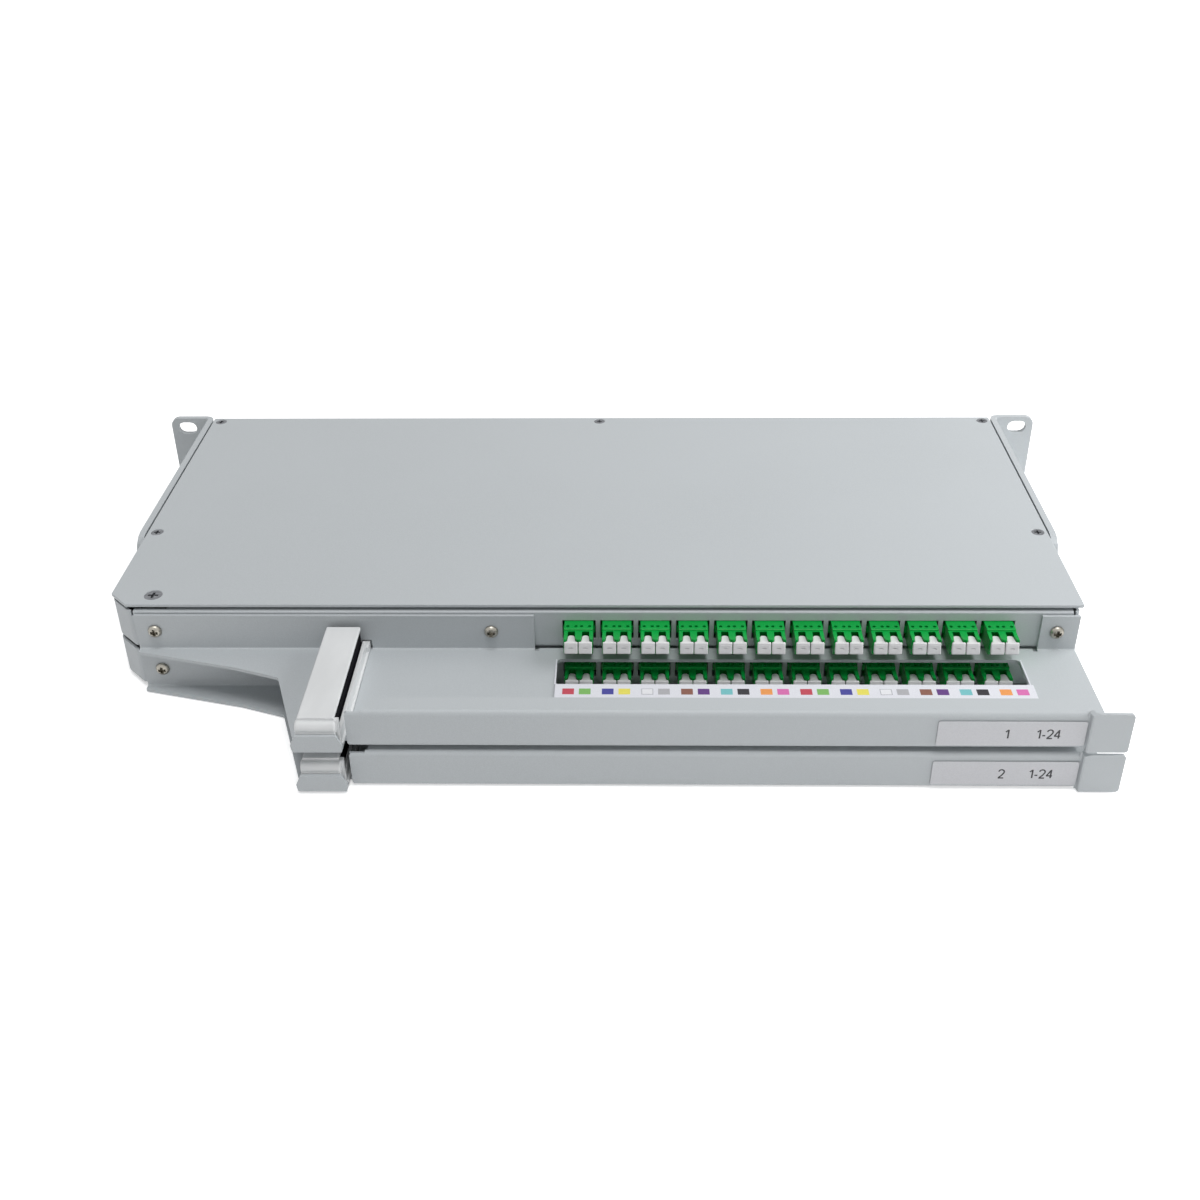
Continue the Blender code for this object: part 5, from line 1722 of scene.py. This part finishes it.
@dataclass
class ColourStrip(TrayPart):
    """Strip with a patch in each fibre's colour, in front of the upper window."""

    level: Level = Level.UPPER
    left: float = -15.2
    width: float = 204.4
    start: float = 226.8
    depth: float = 11.6
    lift: float = 0.6
    sheet: float = 0.4
    corner: float = 0.4
    edge: float = 0.08
    sides: tuple[float, ...] = (-15.6, 187.9)
    side_size: tuple[float, float, float] = (0.55, 19.0, 0.2)
    side_lap: float = 0.05
    patch: Point = (5.0, 4.2)
    patch_depth: float = 7.6
    patch_rows: Point = (-0.05, 0.03)
    first: float = -11.9
    pair: float = 7.1
    pitch: float = 16.9
    rim: float = 0.25
    rim_height: float = 0.05
    rim_colour: Colour = Colour(166, 168, 174)
    white: Colour = Colour(232, 233, 237)
    colours: tuple[Colour, ...] = (
        Colour(192, 70, 86), Colour(125, 182, 98), Colour(66, 66, 150),
        Colour(232, 222, 98), Colour(232, 233, 237), Colour(176, 176, 180),
        Colour(136, 90, 76), Colour(96, 56, 126), Colour(120, 192, 196),
        Colour(42, 40, 46), Colour(236, 156, 86), Colour(216, 112, 176))

    def strip(self, low: float) -> Solid:
        """Make the strip and the two narrow edges behind it.

        Args:
            low: The height that they lie at.

        Returns:
            Their shape.
        """
        rear = ahead(self.start)
        outline = rectangle((self.left, ahead(self.start + self.depth)),
                            (self.left + self.width, rear))
        strip = prism(fillet(outline, self.corner), low, low + self.sheet)
        wide, long, tall = self.side_size
        sides = [block((x, rear - self.side_lap, low), (x + wide, rear + long, low + tall))
                 for x in self.sides]
        return merged(softened(strip, self.edge, 1), *sides)

    def build(self) -> None:
        """Make the strip and its patches."""
        low = self.floor + self.lift
        self.add("code_strip", self.strip(low), STRIP, "colour_strip_#")
        near_y, top = ahead(self.start + self.patch_depth), low + self.sheet
        wide, deep = self.patch
        for shade, colour in enumerate(self.colours):
            patches = []
            for place in (shade, shade + len(self.colours)):
                x = self.first + self.pitch * (place // 2) + self.pair * (place % 2)
                patches.append(block((x, near_y, top + self.patch_rows[0]),
                                     (x + wide, near_y + deep, top + self.patch_rows[1])))
                if colour == self.white:
                    outer = rectangle((x, near_y), (x + wide, near_y + deep))
                    inner = rectangle((x + self.rim, near_y + self.rim),
                                      (x + wide - self.rim, near_y + deep - self.rim))
                    rim = prism(outer, top, top + self.rim_height, holes=[inner])
                    self.add(f"patch_rim_{place + 1}", rim, PrintedFilm(self.rim_colour))
            self.add(f"patch_{shade + 1:02d}", merged(*patches), PrintedFilm(colour))


@dataclass
class SwingTray:
    """One tray with everything that turns with it."""

    level: Level

    def build(self) -> None:
        """Make and dress the tray's pieces."""
        number = self.level.value
        dress([f"pivot_bush_{number}", f"splice_cassette_{number}"], DARK_PLASTIC)
        for part in (TraySheet, Shelf, AdapterRow, CordGuide, Labels):
            part(self.level).build()
        if self.level is Level.UPPER:
            ColourStrip().build()


@dataclass
class Studio:
    """Floor, backdrop, lights and the camera."""

    eye: tuple[float, float, float] = (0.0166, -0.5845, 0.3739)
    yaw: float = -1.400
    pitch: float = 32.035
    roll: float = 0.692
    lens: float = 42.16
    sensor: float = 36.0
    nearest: float = 0.01
    sky: float = 0.24
    sun: float = 1.35
    sun_size: float = 26.0
    sun_tilt: tuple[float, float, float] = (12.0, 4.0, 0.0)
    panels: tuple[tuple[float, tuple[float, float, float]], ...] = (
        (7.0, (0.85, 0.05, 0.42)), (1.4, (0.1, -1.25, 0.5)))
    panel_size: float = 0.8
    floor_size: float = 6.0
    floor_drop: float = 0.0002
    floor_shade: float = 0.92
    floor_glow: float = 0.45
    floor_roughness: float = 0.9

    def build_camera(self) -> None:
        """Set the camera at the photo's viewpoint."""
        data = bpy.data.cameras.new("view")
        data.lens, data.sensor_width = self.lens, self.sensor
        data.clip_start = self.nearest
        camera = placed("view", data)
        yaw, pitch, roll = (math.radians(angle) for angle in (self.yaw, self.pitch, self.roll))
        across = Vector((math.cos(yaw), -math.sin(yaw), 0))
        forward = Vector((math.sin(yaw) * math.cos(pitch), math.cos(yaw) * math.cos(pitch),
                          -math.sin(pitch)))
        upward = Vector((math.sin(yaw) * math.sin(pitch), math.cos(yaw) * math.sin(pitch),
                         math.cos(pitch)))
        right = across * math.cos(roll) - upward * math.sin(roll)
        up = across * math.sin(roll) + upward * math.cos(roll)
        turn = Matrix((right, up, -forward)).transposed()
        camera.matrix_world = Matrix.Translation(self.eye) @ turn.to_4x4()
        bpy.context.scene.camera = camera

    def build_floor(self) -> None:
        """Lay the pale floor."""
        mesh = bpy.data.meshes.new("floor")
        shape = bmesh.new()
        bmesh.ops.create_grid(shape, x_segments=1, y_segments=1, size=self.floor_size)
        shape.to_mesh(mesh)
        shape.free()
        graph = ShaderGraph(bpy.data.materials.new("floor"))
        seen = graph.seen()
        dark, pale, glow = ((shade, shade, shade, 1.0)
                            for shade in (0.0, self.floor_shade, self.floor_glow))
        mesh.materials.append(graph.surface(
            Base_Color=graph.mix(seen, pale, WHITE), Roughness=self.floor_roughness,
            Emission_Color=graph.mix(seen, dark, glow), Emission_Strength=1.0))
        item = placed("floor", mesh)
        item.location.z = -self.floor_drop

    def build_light(self) -> None:
        """Light the object softly from all round and from above."""
        world = bpy.data.worlds.new("studio")
        bpy.context.scene.world = world
        graph = ShaderGraph(world)
        soft, plain = (graph.node("ShaderNodeBackground", 0,
                                  {"Color": WHITE, "Strength": power})
                       for power in (self.sky, 1.0))
        sky = graph.node("ShaderNodeMixShader", 0, {0: graph.seen(), 1: soft, 2: plain})
        graph.feed(graph.tree.nodes["World Output"].inputs["Surface"], sky)
        light = bpy.data.lights.new("overhead", "SUN")
        light.energy, light.angle = self.sun, math.radians(self.sun_size)
        lamp = placed("overhead", light)
        lamp.rotation_euler = tuple(math.radians(angle) for angle in self.sun_tilt)
        for energy, place in self.panels:
            panel = bpy.data.lights.new("panel", "AREA")
            panel.energy, panel.size = energy, self.panel_size
            lamp = placed("panel", panel)
            lamp.location = place
            lamp.rotation_euler = (-Vector(place)).to_track_quat("-Z", "Y").to_euler()
            lamp.visible_glossy = False

    def build(self) -> None:
        """Set up the whole studio."""
        bpy.context.scene.view_settings.view_transform = "Standard"
        self.build_camera()
        self.build_floor()
        self.build_light()


def main() -> None:
    """Build the studio and every sub-assembly."""
    logging.basicConfig(level=logging.INFO, format="%(message)s")
    Studio().build()
    Housing().build()
    for level in Level:
        SwingTray(level).build()


if __name__ == "__main__":
    main()
